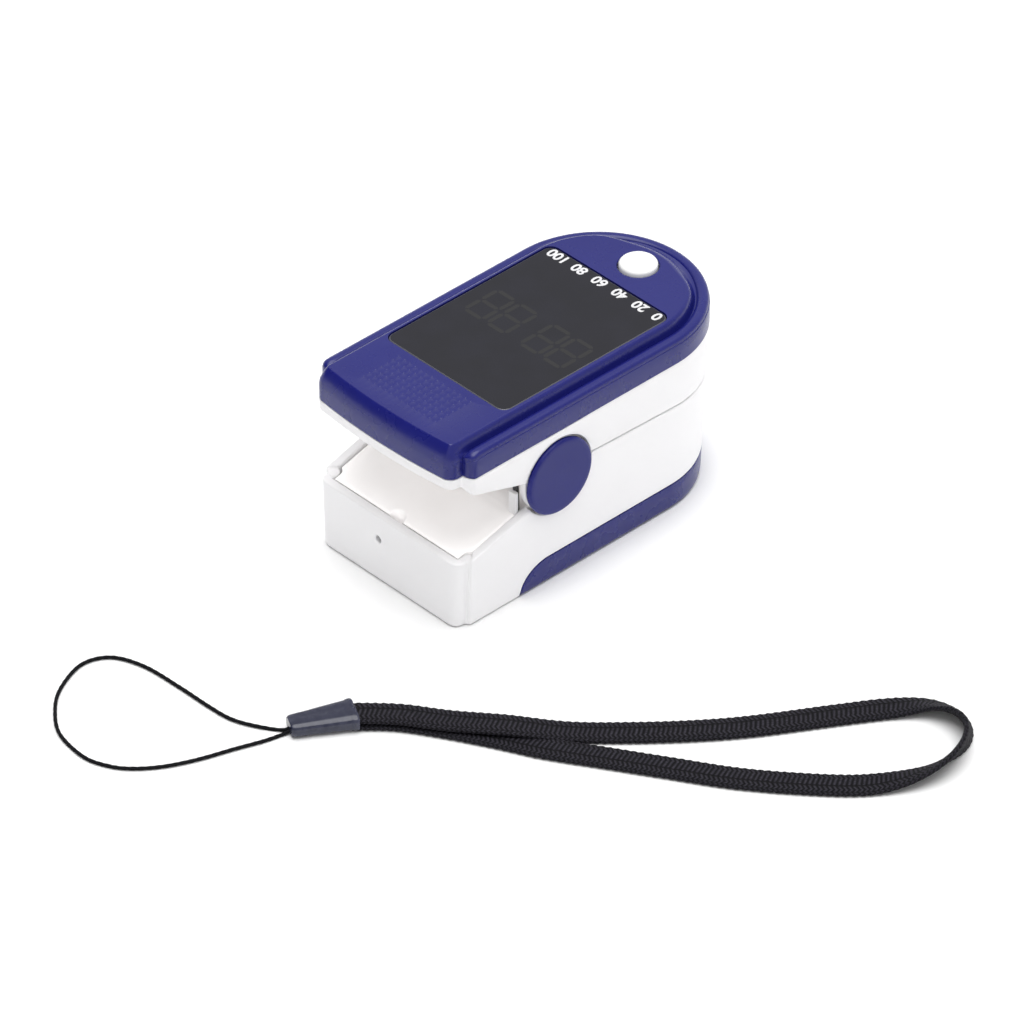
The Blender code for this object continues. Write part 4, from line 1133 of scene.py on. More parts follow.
# ---- upper half ----------------------------------------------------------------------
@dataclass
class UpperShell:
    """White ring of the upper half with its lip, its deck and the two hinge arms."""

    finishes: FinishSet
    lip: float = 25.2
    lip_shoulder: float = 24.3
    lip_back: float = 20.6
    mouth_y: float = -15.9
    shoulder: float = -27.0
    top: float = 26.98
    gap: float = 0.25
    soft: float = 0.25
    plan: CasePlan = field(init=False)

    def __post_init__(self) -> None:
        """Lay out the plan."""
        self.plan = CasePlan(-29.5, self.shoulder, 14.2, sorted_stops(
            spread(-25.8, -16.3, 0.5), HINGE.stops(), spread(-3.0, 13.4, 0.8)),
            bow=0.7, fillet=0.7, step=0.9)

    def edge(self, y: float) -> float:
        """Height of the lip, the mouth's edge, the notch or the seam along Y."""
        slope = (self.lip_back - self.lip_shoulder) / (self.mouth_y - self.shoulder)
        mouth = self.lip_shoulder + slope * (y - self.shoulder)
        if y < HINGE.y - HINGE.notch * cos(radians(14.0)):
            return mix(self.lip, min(mouth, self.lip), smoothstep(-27.5, -26.7, y))
        if y < HINGE.y + HINGE.notch - 0.03:
            return HINGE.above(y)
        return SEAM.height(y) + self.gap

    def build(self) -> bpy.types.Object:
        """Make the wall, the deck and the arms."""
        lows = [self.edge(y) for _, y in self.plan.at(0.0)]

        def row(inset: float, share: float, rise: float) -> list[Vector]:
            heights = [mix(low + rise, self.top, share) for low in lows]
            return [Vector((x, y, z)) for (x, y), z in zip(self.plan.at(inset), heights)]

        bm = bmesh.new()
        soft = self.soft
        band = Band(bm, row(WALL, 1.0, 0.0))
        for turn in (0.0, 30.0, 60.0, 90.0):
            band.rise(row(WALL - soft * (1 - cos(radians(turn))), 0.0,
                          soft * (1 - sin(radians(turn)))))
        for turn in (90.0, 60.0, 30.0, 0.0):
            band.rise(row(soft * (1 - cos(radians(turn))), 0.0, soft * (1 - sin(radians(turn)))))
        for share in (0.25, 0.5, 0.75, 0.96):
            band.rise(row(0.0, share, soft))
        band.rise(row(0.1, 1.0, soft))
        band.close()
        slab(bm, self.plan.at(1.2), 25.5, 26.4)
        taper(bm)
        for side in (-1, 1):
            low, high = sorted((side * 10.6, side * 12.1))
            ring_plate(bm, (HINGE.y, HINGE.z), 1.5, self.arm_reach, low, high)
        return make_piece("shell_upper", bm, self.finishes.white, Body.JAW, ["upper_shell"])

    @staticmethod
    def arm_reach(angle: float) -> float:
        """Distance from the pin to the arm's rim: round below, straight sides up to the deck."""
        half, rise = 3.3, 6.8
        if sin(angle) <= 0.0:
            return half
        return min(half / max(abs(cos(angle)), 1e-6), rise / sin(angle))


@dataclass
class TopCover:
    """Blue top cover: a block with a raised plateau, and a rounded rim beside it."""

    finishes: FinishSet
    base: float = 27.1
    top: float = 32.4
    front: float = -29.5
    bow: float = 0.7
    nose: float = 14.2
    half: float = 14.15
    corner: float = 1.7
    rear_centre: float = 13.6
    window: tuple[float, float, float, float] = (12.57, -17.5, 15.9, 1.68)
    opening: tuple[float, float, float, float] = (11.3, -16.2, 14.6, 1.0)
    button: tuple[float, float] = (21.4, 3.12)
    dot_radius: float = 0.21
    side_profile: Plan = field(default_factory=lambda: [
        (0.0, 27.1), (0.0, 28.4), (0.0, 29.7), (0.0, 30.2), (0.1, 30.38), (0.3, 30.38),
        (0.45, 30.55), (0.58, 31.05), (0.72, 31.6), (0.89, 32.02), (1.08, 32.27), (1.35, 32.4)])
    front_profile: Plan = field(default_factory=lambda: [
        (0.0, 27.1), (0.0, 28.4), (0.0, 29.3), (0.03, 29.7), (0.12, 30.2), (0.27, 30.65),
        (0.46, 31.08), (0.68, 31.48), (0.9, 31.82), (1.1, 32.1), (1.29, 32.36), (1.38, 32.4)])
    rear_profile: Plan = field(default_factory=lambda: [
        (0.0, 27.1), (0.0, 28.4), (0.0, 30.0), (0.0, 30.85), (0.1, 31.06), (0.4, 31.12),
        (0.75, 31.25), (1.15, 31.5), (1.5, 31.8), (1.85, 32.08), (2.2, 32.28), (2.6, 32.4)])

    def outline(self, insets: Sequence[float] | float) -> Plan:
        """Closed outline of the block with an inset of its own at each point."""
        count = self.count()
        values = [insets] * count if isinstance(insets, (int, float)) else list(insets)
        places = []
        for i, inset in zip(range(count), values):
            places.append(self.point(i, inset))
        return places

    def count(self) -> int:
        """Number of points of the outline."""
        return 2 * len(self.stations()) - 2

    def stations(self) -> list[tuple[str, float]]:
        """Kind and place of each point on the right half, from front to rear."""
        marks = [("front", i / 14) for i in range(14)]
        marks += [("corner", i / 12) for i in range(13)]
        marks += [("side", y) for y in spread(-27.4, 13.2, 0.7)]
        return marks + [("rear", i / 40) for i in range(41)]

    def point(self, index: int, inset: float) -> tuple[float, float]:
        """Place of one point of the outline at an inset."""
        marks = self.stations_kept
        mirrored = index >= len(marks)
        kind, where = marks[2 * len(marks) - 2 - index if mirrored else index]
        corner = self.corner
        radius = max(corner - inset, 0.25)
        reach = self.nose - inset - radius
        front = self.front + inset + radius
        if kind == "front":
            x, y = reach * where, self.front + inset - self.bow * (1 - where ** 2)
        elif kind == "corner":
            angle = radians(-90 + 90 * where)
            x, y = reach + radius * cos(angle), front + radius * sin(angle)
        elif kind == "side":
            x = mix(self.nose, self.half, smoothstep(-27.4, -25.0, where)) - inset
            y = max(where, front + 0.02)
        else:
            angle = radians(90 * where)
            x = (self.half - inset) * cos(angle)
            y = self.rear_centre + (self.half - inset) * sin(angle)
        return (-x if mirrored else x), y

    stations_kept: list[tuple[str, float]] = field(init=False)

    def __post_init__(self) -> None:
        """Keep the list of stations."""
        self.stations_kept = self.stations()

    def weights(self) -> list[tuple[float, float]]:
        """How far each point follows the front's and the rear's profile."""
        marks = self.stations_kept
        half = []
        for kind, where in marks:
            if kind == "front":
                half.append((1.0, 0.0))
            elif kind == "corner":
                half.append((1.0 - 0.25 * smoothstep(0.3, 1.0, where), 0.0))
            elif kind == "side":
                half.append((0.75 * (1 - smoothstep(-27.6, -25.6, where)), 0.0))
            else:
                half.append((0.0, smoothstep(0.42, 0.78, where)))
        return half + half[-2:0:-1]

    def ring(self, level: int, extra: float = 0.0) -> list[Vector]:
        """Places of one ring of the block's outer face."""
        insets, heights = [], []
        for front, rear in self.weights():
            side = self.side_profile[level]
            inset = mix(mix(side[0], self.front_profile[level][0], front),
                        self.rear_profile[level][0], rear)
            height = mix(mix(side[1], self.front_profile[level][1], front),
                         self.rear_profile[level][1], rear)
            insets.append(inset + extra)
            heights.append(height)
        return [Vector((x, y, z)) for (x, y), z in zip(self.outline(insets), heights)]

    @staticmethod
    def rounded(half: float, front: float, rear: float, radius: float) -> Plan:
        """Outline of a rectangle across X with round corners."""
        return (arc(half - radius, front + radius, radius, -90, 0, 10)
                + arc(half - radius, rear - radius, radius, 0, 90, 10)
                + arc(-half + radius, rear - radius, radius, 90, 180, 10)
                + arc(-half + radius, front + radius, radius, 180, 270, 10))

    def dots(self) -> list[tuple[float, float]]:
        """Places of the grip dimples ahead of the window."""
        return [((c - 6.5) * 1.15, -26.0 + 1.15 * r) for r in range(7) for c in range(14)]

    def block(self, bm: bmesh.types.BMesh) -> None:
        """Make the block with its window seat, button hole and grip dimples."""
        last = len(self.side_profile) - 1
        skin = Band(bm, self.ring(0))
        for level in range(1, last + 1):
            skin.rise(self.ring(level))
        skin.rise(self.ring(last, 0.07))
        seat = [(x, y, self.top) for x, y in self.rounded(*self.window)]
        well = Band(bm, seat)
        well.rise([(x, y, 31.0) for x, y in self.rounded(*self.window)])
        well.rise([(x, y, 31.0) for x, y in self.rounded(*self.opening)])
        well.rise([(x, y, 30.2) for x, y in self.rounded(*self.opening)])
        y, radius = self.button
        circle = [arc(0.0, y, r, 0, 360, 64)[:-1] for r in (radius + 0.12, radius, 4.2)]
        hole = Band(bm, [(u, v, self.top) for u, v in circle[0]])
        for ring, z in ((1, self.top - 0.12), (1, 31.2), (2, 31.2), (2, 30.2)):
            hole.rise([(u, v, z) for u, v in circle[ring]])
        rims = list(skin.edges) + list(well.first) + list(hole.first)
        for x, y in self.dots():
            rims += self.dimple(bm, x, y)
        bmesh.ops.triangle_fill(bm, use_beauty=True, use_dissolve=False, edges=rims,
                                normal=(0, 0, 1))
        inner = Band(bm, [(x, y, self.base) for x, y in self.outline(1.45)])
        inner.rise([(x, y, 30.2) for x, y in self.outline(1.45)])
        bmesh.ops.triangle_fill(bm, use_beauty=True, use_dissolve=False,
                                edges=inner.edges + well.edges + hole.edges, normal=(0, 0, -1))
        bmesh.ops.bridge_loops(bm, edges=skin.first + inner.first)

    def dimple(self, bm: bmesh.types.BMesh, x: float, y: float) -> list[bmesh.types.BMEdge]:
        """Sink one round dimple into the plateau and return the edges of its rim."""
        radius = self.dot_radius
        bowl = None
        for share, drop in ((1.0, 0.0), (0.8, 0.018), (0.5, 0.04), (0.25, 0.05)):
            loop = [(u, v, self.top - drop) for u, v in arc(x, y, radius * share, 0, 360, 10)[:-1]]
            bowl = bowl.rise(loop) if bowl else Band(bm, loop)
        bmesh.ops.contextual_create(bm, geom=bowl.edges)
        return list(bowl.first)

    def rim(self, bm: bmesh.types.BMesh) -> None:
        """Sweep the rounded rim from one shoulder round the rear to the other."""
        centre, start = 15.0, -27.0
        run = self.rear_centre - start
        section = [(1.0, 27.1), (1.0, 28.6), (1.0, 30.1), (0.97, 30.22), (0.88, 30.28),
                   (0.89, 30.4), (0.86, 30.7), (0.74, 30.93), (0.5, 31.1), (0.2, 31.19),
                   (-0.2, 31.2), (-0.55, 31.12), (-0.8, 30.93), (-0.94, 30.65), (-1.0, 30.3),
                   (-1.0, 27.1)]
        ends = [0.0, 0.02, 0.08, 0.18, 0.32, 0.5, 0.72, 1.0]
        places = ends + spread(1.3, run, 0.7)[:-1]
        right = [(centre, start + s, 0.0, s) for s in places]
        turn = [(centre * cos(radians(a)), self.rear_centre + centre * sin(radians(a)), a, 99.0)
                for a in spread(0.0, 180.0, 2.5)]
        left = [(-centre, start + s, 180.0, s) for s in reversed(places)]
        band = None
        for x, y, angle, travelled in right + turn + left:
            share = min(travelled, 1.0)
            width = sqrt(max(1 - (1 - share) ** 2, 0.001))
            drop = 0.85 * (1 - min(travelled / 1.8, 1.0)) ** 2
            out = Vector((cos(radians(angle)), sin(radians(angle)), 0.0))
            loop = [Vector((x, y, 0.0)) + out * ((u + 1) * width - 1)
                    + Vector((0, 0, z - drop * max(z - 29.5, 0.0) / 1.7)) for u, z in section]
            band = band.rise(loop) if band else Band(bm, loop)
        bmesh.ops.remove_doubles(bm, verts=bm.verts, dist=0.0005)
        bmesh.ops.holes_fill(bm, edges=[e for e in bm.edges if e.is_boundary], sides=0)

    def build(self) -> bpy.types.Object:
        """Make the cover."""
        bm = bmesh.new()
        self.rim(bm)
        self.block(bm)
        return make_piece("cover_top", bm, self.finishes.blue, Body.JAW, ["top_cover"],
                          flat_above=34.0)


@dataclass
class DisplayWindow:
    """Smoked window with a cut edge, dark digit segments and a printed row of numbers."""

    finishes: FinishSet
    half: float = 12.48
    front: float = -17.4
    rear: float = 15.8
    radius: float = 1.6
    low: float = 31.25
    high: float = 32.3
    cut: float = 0.2

    def pane(self) -> bpy.types.Object:
        """Make the window's pane."""
        bm = bmesh.new()

        def loop(inset: float, z: float) -> list[Vector]:
            outline = TopCover.rounded(self.half - inset, self.front + inset, self.rear - inset,
                                       self.radius - inset)
            return [Vector((x, y, z)) for x, y in outline]

        band = Band(bm, loop(0.1, self.low))
        for inset, z in ((0.0, self.low + 0.1), (0.0, self.high - self.cut),
                         (self.cut * 0.5, self.high - self.cut * 0.36), (self.cut, self.high),
                         (self.cut + 0.05, self.high)):
            band.rise(loop(inset, z))
        band.cap()
        return make_piece("window_pane", bm, self.finishes.window, Body.JAW, ["display_window"],
                          flat_above=60.0)

    def segment(self, bm: bmesh.types.BMesh, start: Vector, end: Vector, width: float) -> None:
        """Add one pointed bar of a digit between two points of the pane."""
        along = (end - start).normalized()
        across = Vector((-along.y, along.x))
        tip = width / 2
        a, b = start + along * tip, end - along * tip
        outline = [start, a + across * tip, b + across * tip, end, b - across * tip,
                   a - across * tip]
        slab(bm, [(p.x, p.y) for p in outline], self.high - 0.05, self.high + 0.004)

    def digits(self) -> bpy.types.Object:
        """Make the unlit bars of the two pairs of digits under the pane's face."""
        bm = bmesh.new()
        wide, tall, bar = 3.6, 6.6, 0.7
        for x0 in (-9.6, -4.9, 2.0, 6.7):
            for y0 in (-4.2,):
                corner = Vector((x0, y0))
                right, up = Vector((wide, 0)), Vector((0, tall))
                knots = [corner + right * i + up * j / 2 for j in range(3) for i in range(2)]
                for a, b in ((0, 1), (2, 3), (4, 5), (0, 2), (2, 4), (1, 3), (3, 5)):
                    gap = (knots[b] - knots[a]).normalized() * 0.15
                    self.segment(bm, knots[a] + gap, knots[b] - gap, bar)
        return make_piece("window_digits", bm, self.finishes.digit, Body.JAW)

    def scale(self) -> bpy.types.Object:
        """Print a plain row of numbers along the window's rear edge."""
        bm = bmesh.new()
        for label, x in (("0", 10.9), ("20", 7.4), ("40", 3.2), ("60", -1.0), ("80", -5.2),
                         ("100", -9.6)):
            curve = bpy.data.curves.new(f"mark_{label}", "FONT")
            curve.body, curve.size, curve.align_x = label, 2.5, "CENTER"
            curve.offset = 0.075
            curve.extrude = 0.012
            text = bpy.data.objects.new(f"mark_{label}", curve)
            bpy.context.scene.collection.objects.link(text)
            bpy.context.view_layer.update()
            solid = text.evaluated_get(bpy.context.evaluated_depsgraph_get())
            mesh = bpy.data.meshes.new_from_object(solid)
            place = Matrix.Translation((x, 15.35, self.high)) @ Matrix.Rotation(pi, 4, "Z")
            mesh.transform(place)
            bm.from_mesh(mesh)
            bpy.data.objects.remove(text, do_unlink=True)
        return make_piece("window_scale", bm, self.finishes.print, Body.JAW)

    def build(self) -> None:
        """Make the pane and what is printed on it."""
        self.pane()
        self.digits()
        self.scale()


@dataclass
class PowerButton:
    """Round domed button with its flange and stem."""

    finishes: FinishSet
    y: float = 21.4
    radius: float = 2.9
    top: float = 33.2

    def build(self) -> bpy.types.Object:
        """Turn the button."""
        r, top = self.radius, self.top
        profile = [(0.0, 29.8), (1.0, 29.8), (1.1, 29.9), (1.1, 30.3), (3.6, 30.3),
                   (3.7, 30.4), (3.7, 30.8), (3.6, 30.9), (r, 30.95), (r, top - 0.62),
                   (r - 0.05, top - 0.45), (r - 0.2, top - 0.27), (r - 0.42, top - 0.16),
                   (r - 0.8, top - 0.09), (r - 1.4, top - 0.04), (r - 2.1, top - 0.01),
                   (0.0, top)]
        bm = bmesh.new()
        turned(bm, profile, (0.0, self.y, 0.0), "Z", 72)
        return make_piece("button_power", bm, self.finishes.button, Body.BUTTON,
                          ["power_button"])


@dataclass
class PivotCaps:
    """Blue discs over the hinge pins."""

    finishes: FinishSet
    radius: float = 6.2
    inner: float = 15.5
    outer: float = 16.35

    def build(self) -> None:
        """Turn one cap for each side."""
        depth, r = self.outer - self.inner, self.radius
        profile = [(0.0, 0.0), (r - 0.2, 0.0), (r, 0.15), (r, depth - 0.34),
                   (r - 0.06, depth - 0.16), (r - 0.18, depth - 0.05), (r - 0.36, depth),
                   (r - 0.9, depth - 0.015), (0.0, depth)]
        for name, side in (("left", -1), ("right", 1)):
            bm = bmesh.new()
            turned(bm, profile, (side * self.inner, HINGE.y, HINGE.z),
                   "X" if side > 0 else "-X", 96)
            make_piece(f"cap_pivot_{name}", bm, self.finishes.disc, Body.LOWER,
                       [f"pivot_cap_{name}"])


# ---- cables and lanyard --------------------------------------------------------------
def swept(bm: bmesh.types.BMesh, path: Sequence[Vector],
          section: Callable[[int, float], Plan], round_count: int) -> None:
    """Sweep a closed section along a path and lay a UV map on it.

    Args:
        bm: The mesh that takes the tube.
        path: Points of the centre line.
        section: Gives the section's points for a station and its distance along.
        round_count: Number of points in the section.
    """
    layer = bm.loops.layers.uv.new("lay")
    travelled, band, marks = 0.0, None, {}
    for i, place in enumerate(path):
        ahead = path[min(i + 1, len(path) - 1)] - path[max(i - 1, 0)]
        along = ahead.normalized()
        across = Vector((along.y, -along.x, 0.0)).normalized()
        if across.length < 0.5:
            across = Vector((1.0, 0.0, 0.0))
        upward = across.cross(along)
        if upward.z < 0 and abs(along.z) < 0.9:
            upward = -upward
        travelled += (place - path[i - 1]).length if i else 0.0
        loop = [place + across * u + upward * v for u, v in section(i, travelled)]
        band = band.rise(loop) if band else Band(bm, loop)
        for k, vert in enumerate(band.row):
            marks[vert] = (k / round_count, travelled * MM)
    for face in bm.faces:
        around = [marks[loop.vert][0] for loop in face.loops]
        wraps = max(around) - min(around) > 0.5
        for loop, u in zip(face.loops, around):
            loop[layer].uv = (u + 1.0 if wraps and u < 0.5 else u, marks[loop.vert][1])
    band.cap()


@dataclass
class HingeCables:
    """The two thin cables that cross the hinge just ahead of it."""

    finishes: FinishSet
    x: float = 13.05
    y: float = -15.4
    radius: float = 0.45

    def build(self) -> None:
        """Sweep both cables; they ride on no body."""
        for name, side in (("sensor_cable", 1), ("power_cable", -1)):
            x, y = side * self.x, self.y
            route = [(x, y, 8.0), (x, y, 12.0), (x, y - 0.1, 16.0), (x, y - 0.2, 19.0),
                     (x, y - 0.1, 22.0), (x, y, 25.0), (x, y, 26.6)]
            bm = bmesh.new()
            circle = [(self.radius * cos(2 * pi * k / 20), self.radius * sin(2 * pi * k / 20))
                      for k in range(20)]
            swept(bm, smooth_route(route, 40), lambda i, s: circle, 20)
            cable = make_piece(f"hinge_{name}", bm, self.finishes.cable, None, [name])
            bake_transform(cable)


@dataclass
class Lanyard:
    """Loop of thin string, crimped vinyl sleeve and flat braided strap."""

    finishes: FinishSet
    string_radius: float = 0.27
    string_route: tuple[tuple[float, float], ...] = (
        (15.3, -61.0), (14.2, -61.9), (11.1, -64.0), (7.3, -65.6), (2.9, -66.0), (-3.3, -66.1),
        (-10.2, -66.6), (-15.0, -68.7), (-16.6, -72.9), (-14.5, -78.6), (-11.3, -82.4),
        (-6.8, -85.4), (-0.7, -86.3), (3.4, -85.0), (6.1, -82.9), (8.6, -79.6), (10.8, -75.0),
        (12.6, -69.7), (14.1, -65.6), (14.9, -62.4), (15.5, -61.0))
    strap_width: float = 4.4
    strap_thick: float = 0.85
    strap_step: float = 0.98
    strap_route: tuple[tuple[float, float, float], ...] = (
        (18.7, -54.3, 1), (19.5, -53.0, 1), (24.0, -48.6, 1), (29.7, -44.6, 1), (36.2, -39.3, 1),
        (42.3, -33.3, 0), (48.5, -27.0, 0), (54.6, -19.9, 0), (59.5, -13.2, 0),
        (65.8, -3.0, 0), (70.1, 3.6, 0), (73.8, 7.4, 0), (78.0, 8.4, 0), (81.7, 6.9, 0),
        (84.0, 3.6, 0), (84.5, -1.1, 0), (82.8, -6.2, 0), (78.8, -12.1, 0), (72.6, -18.0, 0),
        (65.7, -23.5, 0), (58.2, -28.3, 0), (50.6, -33.1, 0), (43.0, -37.9, 0),
        (37.0, -41.0, 0), (30.0, -44.9, 0), (23.9, -48.9, 0), (19.6, -53.3, 0),
        (19.0, -54.5, 0))
    narrow_end: tuple[float, float] = (14.9, -61.5)
    wide_end: tuple[float, float] = (19.4, -52.9)
    narrow: tuple[float, float] = (3.6, 2.1)
    wide: tuple[float, float] = (5.6, 2.6)

    def string(self) -> None:
        low = self.string_radius + 0.05
        route = [(x, y, low) for x, y in self.string_route]
        route[0] = (*self.string_route[0], 1.4)
        route[-1] = (*self.string_route[-1], 1.0)
        path = smooth_route(route, 300)
        bm = bmesh.new()
        r = self.string_radius

        def section(_: int, travelled: float) -> Plan:
            turn = travelled * 2 * pi / 2.4
            return [(r * (1 + 0.07 * cos(2 * (2 * pi * k / 12 + turn))) * cos(2 * pi * k / 12),
                     r * (1 + 0.07 * cos(2 * (2 * pi * k / 12 + turn))) * sin(2 * pi * k / 12))
                    for k in range(12)]

        swept(bm, path, section, 12)
        piece = make_piece("cord_string", bm, self.finishes.string, Body.LANYARD,
                           ["lanyard_string"])
        line = [tuple(p * MM) for p in path]
        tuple(line[0])

    def roll(self, travelled: float, total: float) -> float:
        """How far the strap has turned over, in radians, along its length."""
        return pi * smoothstep(0.405, 0.605, travelled / total)

    def strap(self) -> None:
        low = self.strap_thick / 2 + 0.05
        route = [(x, y, low + self.strap_step * level) for x, y, level in self.strap_route]
        flat = smooth_route(route, 520)
        total = route_length(flat)
        path, travelled = [], 0.0
        for i, place in enumerate(flat):
            travelled += (place - flat[i - 1]).length if i else 0.0
            rise = sin(self.roll(travelled, total)) * (self.strap_width - self.strap_thick) / 2
            path.append(place + Vector((0, 0, rise)))
        bm = bmesh.new()
        count = 24

        def section(_: int, at: float) -> Plan:
            angle = self.roll(at, total)
            points = []
            for k in range(count):
                a = 2 * pi * (k + 0.5) / count
                side = 1.0 if cos(a) > 0 else -1.0
                bump = 1 + 0.04 * sin(2 * pi * at / 1.15 + (0.0 if side > 0 else pi))
                u = side * abs(cos(a)) ** 0.55 * self.strap_width / 2 * bump
                v = (1 if sin(a) > 0 else -1) * abs(sin(a)) ** 0.6 * self.strap_thick / 2
                v *= 1 - 0.18 * (1 - min(abs(u) / 0.5, 1.0))
                v *= 1 + 0.08 * sin(2 * pi * (at + abs(u) * 0.8) / 1.15)
                points.append((u * cos(angle) - v * sin(angle), u * sin(angle) + v * cos(angle)))
            return points

        swept(bm, path, section, count)
        piece = make_piece("cord_strap", bm, self.finishes.strap, Body.LANYARD,
                           ["lanyard_strap"])

    def ferrule(self) -> None:
        """Make the crimped sleeve with its pressed creases and rolled mouth."""
        start, end = Vector(self.narrow_end), Vector(self.wide_end)
        along = (end - start).normalized()
        across = Vector((along.y, -along.x))
        length = (end - start).length
        count = 40
        stations = [(0.0, 0.86), (0.03, 0.97), (0.08, 1.0), (0.2, 1.0), (0.32, 0.985),
                    (0.45, 1.0), (0.6, 1.0), (0.75, 1.0), (0.86, 1.0), (0.89, 1.0),
                    (0.905, 1.03), (0.93, 1.045), (0.97, 1.045), (0.99, 1.02), (1.0, 0.97),
                    (1.0, 0.8), (0.97, 0.74), (0.9, 0.72)]
        bm = bmesh.new()
        band = None
        for share, swell in stations:
            width = mix(self.narrow[0], self.wide[0], share) / 2 * swell
            height = mix(self.narrow[1], self.wide[1], share) / 2 * swell
            middle = mix(self.narrow[1] / 2 + 0.1, self.wide[1] / 2, share)
            centre = start + along * length * share
            loop = []
            for k in range(count):
                a = 2 * pi * k / count
                u = (1 if cos(a) > 0 else -1) * abs(cos(a)) ** 0.62 * width
                v = (1 if sin(a) > 0 else -1) * abs(sin(a)) ** 0.62 * height
                crease = 0.13 * (1 - smoothstep(0.0, 0.45, abs(u + 0.35 * width)))
                v -= crease * (1 if v > 0 else 0) * smoothstep(0.05, 0.3, share)
                place = centre + across * u
                loop.append(Vector((place.x, place.y, max(middle + v, 0.02))))
            band = band.rise(loop) if band else Band(bm, loop)
        band.cap()
        make_piece("ferrule_sleeve", bm, self.finishes.vinyl, Body.LANYARD, ["lanyard_ferrule"])

    def build(self) -> None:
        """Make the string, the strap and the sleeve."""
        self.string()
        self.strap()
        self.ferrule()


# ---- pieces kept from the frame ------------------------------------------------------
def dress_kept(finishes: FinishSet) -> None:
    """Give the frame's own inner pieces their finishes."""
    by_finish = {
        finishes.white: ("lower_tray", "upper_tray"),
        finishes.jacket: ("battery_left", "battery_right"),
        finishes.nickel: ("battery_bridge_contact", "positive_contact_plate",
                          "negative_contact_spring", "timing_crystal"),
        finishes.board: ("detector_board", "emitter_board", "main_pcb"),
        finishes.chip: ("photodiode", "controller_chip", "analog_chip", "display_module",
                        "tactile_switch"),
        finishes.lens: ("detector_lens", "led_emitter", "emitter_lens"),
        finishes.steel: ("tray_screw_1", "tray_screw_2", "hinge_pin_left", "hinge_pin_right",
                         "torsion_spring_left", "torsion_spring_right", "case_screw_1",
                         "case_screw_2", "case_screw_3", "case_screw_4"),
    }
    for finish, names in by_finish.items():
        for name in names:
            obj = bpy.data.objects[name]
            for slot in obj.material_slots:
                slot.material = finish.material
        LOG.info("%s: %s", finish.name, ", ".join(names))


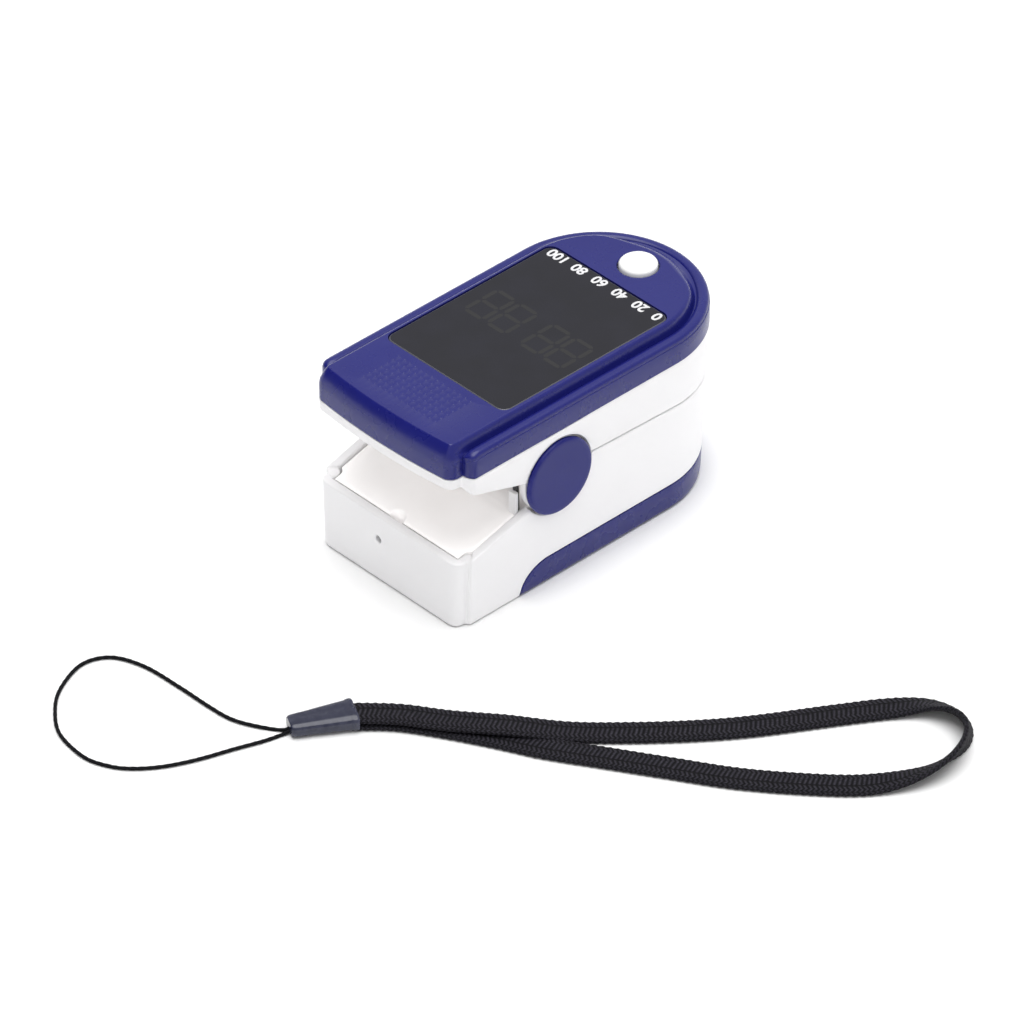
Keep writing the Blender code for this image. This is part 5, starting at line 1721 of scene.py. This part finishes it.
# ---- studio --------------------------------------------------------------------------
@dataclass
class Studio:
    """Camera, pale floor and soft surroundings."""

    target: tuple[float, float, float] = (0.005867, -0.009492, 0.006749)
    back: tuple[float, float, float] = (0.57514735, -0.54674298, 0.60850443)
    distance: float = 1.2
    lens: float = 291.61
    floor_half: float = 3.0
    dim_towards: tuple[float, float, float] = (-0.605, -0.655, 0.453)
    dim: float = 0.05
    bright: float = 0.74
    right: float = 0.58
    overhead: float = 3.6
    mouth_power: float = 5.2

    def camera(self) -> None:
        """Place the camera."""
        data = bpy.data.cameras.new("camera")
        data.lens, data.sensor_width = self.lens, 36.0
        data.clip_start, data.clip_end = 0.05, 20.0
        camera = bpy.data.objects.new("camera", data)
        back = Vector(self.back)
        camera.location = Vector(self.target) + back * self.distance
        camera.rotation_euler = back.to_track_quat("Z", "Y").to_euler()
        bpy.context.scene.collection.objects.link(camera)
        bpy.context.scene.camera = camera

    def floor(self) -> None:
        """Lay the pale floor."""
        bm = bmesh.new()
        bmesh.ops.create_grid(bm, x_segments=4, y_segments=4, size=self.floor_half)
        mesh = bpy.data.meshes.new("floor")
        bm.to_mesh(mesh)
        bm.free()
        floor = bpy.data.objects.new("floor", mesh)
        bpy.context.scene.collection.objects.link(floor)
        material = bpy.data.materials.new("floor_paper")
        material.use_nodes = True
        shader = material.node_tree.nodes["Principled BSDF"]
        shader.inputs["Base Color"].default_value = (0.93, 0.93, 0.93, 1.0)
        shader.inputs["Roughness"].default_value = 0.9
        shader.inputs["Specular IOR Level"].default_value = 0.1
        mesh.materials.append(material)

    def surroundings(self) -> None:
        """Surround the object with soft white light that is dim towards the front."""
        world = bpy.data.worlds.new("studio")
        bpy.context.scene.world = world
        world.use_nodes = True
        graph = Graph(world.node_tree)
        heading = graph.add("ShaderNodeTexCoord").outputs["Generated"]
        facing = graph.add("ShaderNodeVectorMath", {0: heading, 1: self.dim_towards},
                           operation="DOT_PRODUCT").outputs["Value"]
        parts = graph.add("ShaderNodeSeparateXYZ", {0: heading}).outputs
        side = graph.ramp(parts[0], -0.2, 0.7, self.bright, self.right)
        level = graph.math("MULTIPLY", side, graph.ramp(facing, 0.72, 0.91, 1.0, self.dim))
        top = graph.ramp(parts[2], 0.84, 0.93, 0.0, self.overhead)
        strength = graph.math("ADD", level, top)
        background = world.node_tree.nodes["Background"]
        background.inputs["Color"].default_value = (1.0, 1.0, 1.0, 1.0)
        world.node_tree.links.new(strength, background.inputs["Strength"])

    def lamps(self, lit: Sequence[bpy.types.Object]) -> None:
        """Add one soft lamp that reaches into the mouth and lights only the given pieces."""
        data = bpy.data.lights.new("mouth_lamp", "AREA")
        data.shape, data.size, data.energy = "DISK", 0.4, self.mouth_power
        lamp = bpy.data.objects.new("mouth_lamp", data)
        lamp.location = (0.25, -0.9, 0.5)
        lamp.rotation_euler = Vector(lamp.location).to_track_quat("Z", "Y").to_euler()
        bpy.context.scene.collection.objects.link(lamp)
        chosen = bpy.data.collections.new("lit_by_mouth_lamp")
        for obj in lit:
            chosen.objects.link(obj)
        lamp.light_linking.receiver_collection = chosen

    def build(self) -> None:
        """Set everything round the object."""
        bpy.context.scene.view_settings.view_transform = "Standard"
        self.camera()
        self.floor()
        self.surroundings()


# ---- assembly ------------------------------------------------------------------------
def main() -> None:
    """Build the scene: camera and cords first, then the case, then what is kept."""
    logging.basicConfig(level=logging.INFO, format="%(message)s")
    finishes = FinishSet()
    studio = Studio()
    studio.build()
    Lanyard(finishes).build()
    lower, upper = LowerShell(finishes), UpperShell(finishes)
    lower.build()
    upper.build()
    BatteryCover(finishes).build()
    pads = [
        FingerPad(finishes, "pad_lower", "lower_pad", Body.LOWER, lower.plan,
                  ((-27.0, 11.62), (-16.0, 14.55)), 14.5, 17.6, notch=(1.3, -25.6)).build(),
        FingerPad(finishes, "pad_upper", "upper_pad", Body.JAW, upper.plan,
                  ((-27.6, 24.5), (-16.5, 22.3)), 22.3, 18.2, up=-1).build()]
    studio.lamps(pads)
    TopCover(finishes).build()
    DisplayWindow(finishes).build()
    PowerButton(finishes).build()
    PivotCaps(finishes).build()
    HingeCables(finishes).build()
    dress_kept(finishes)


if __name__ == "__main__":
    main()
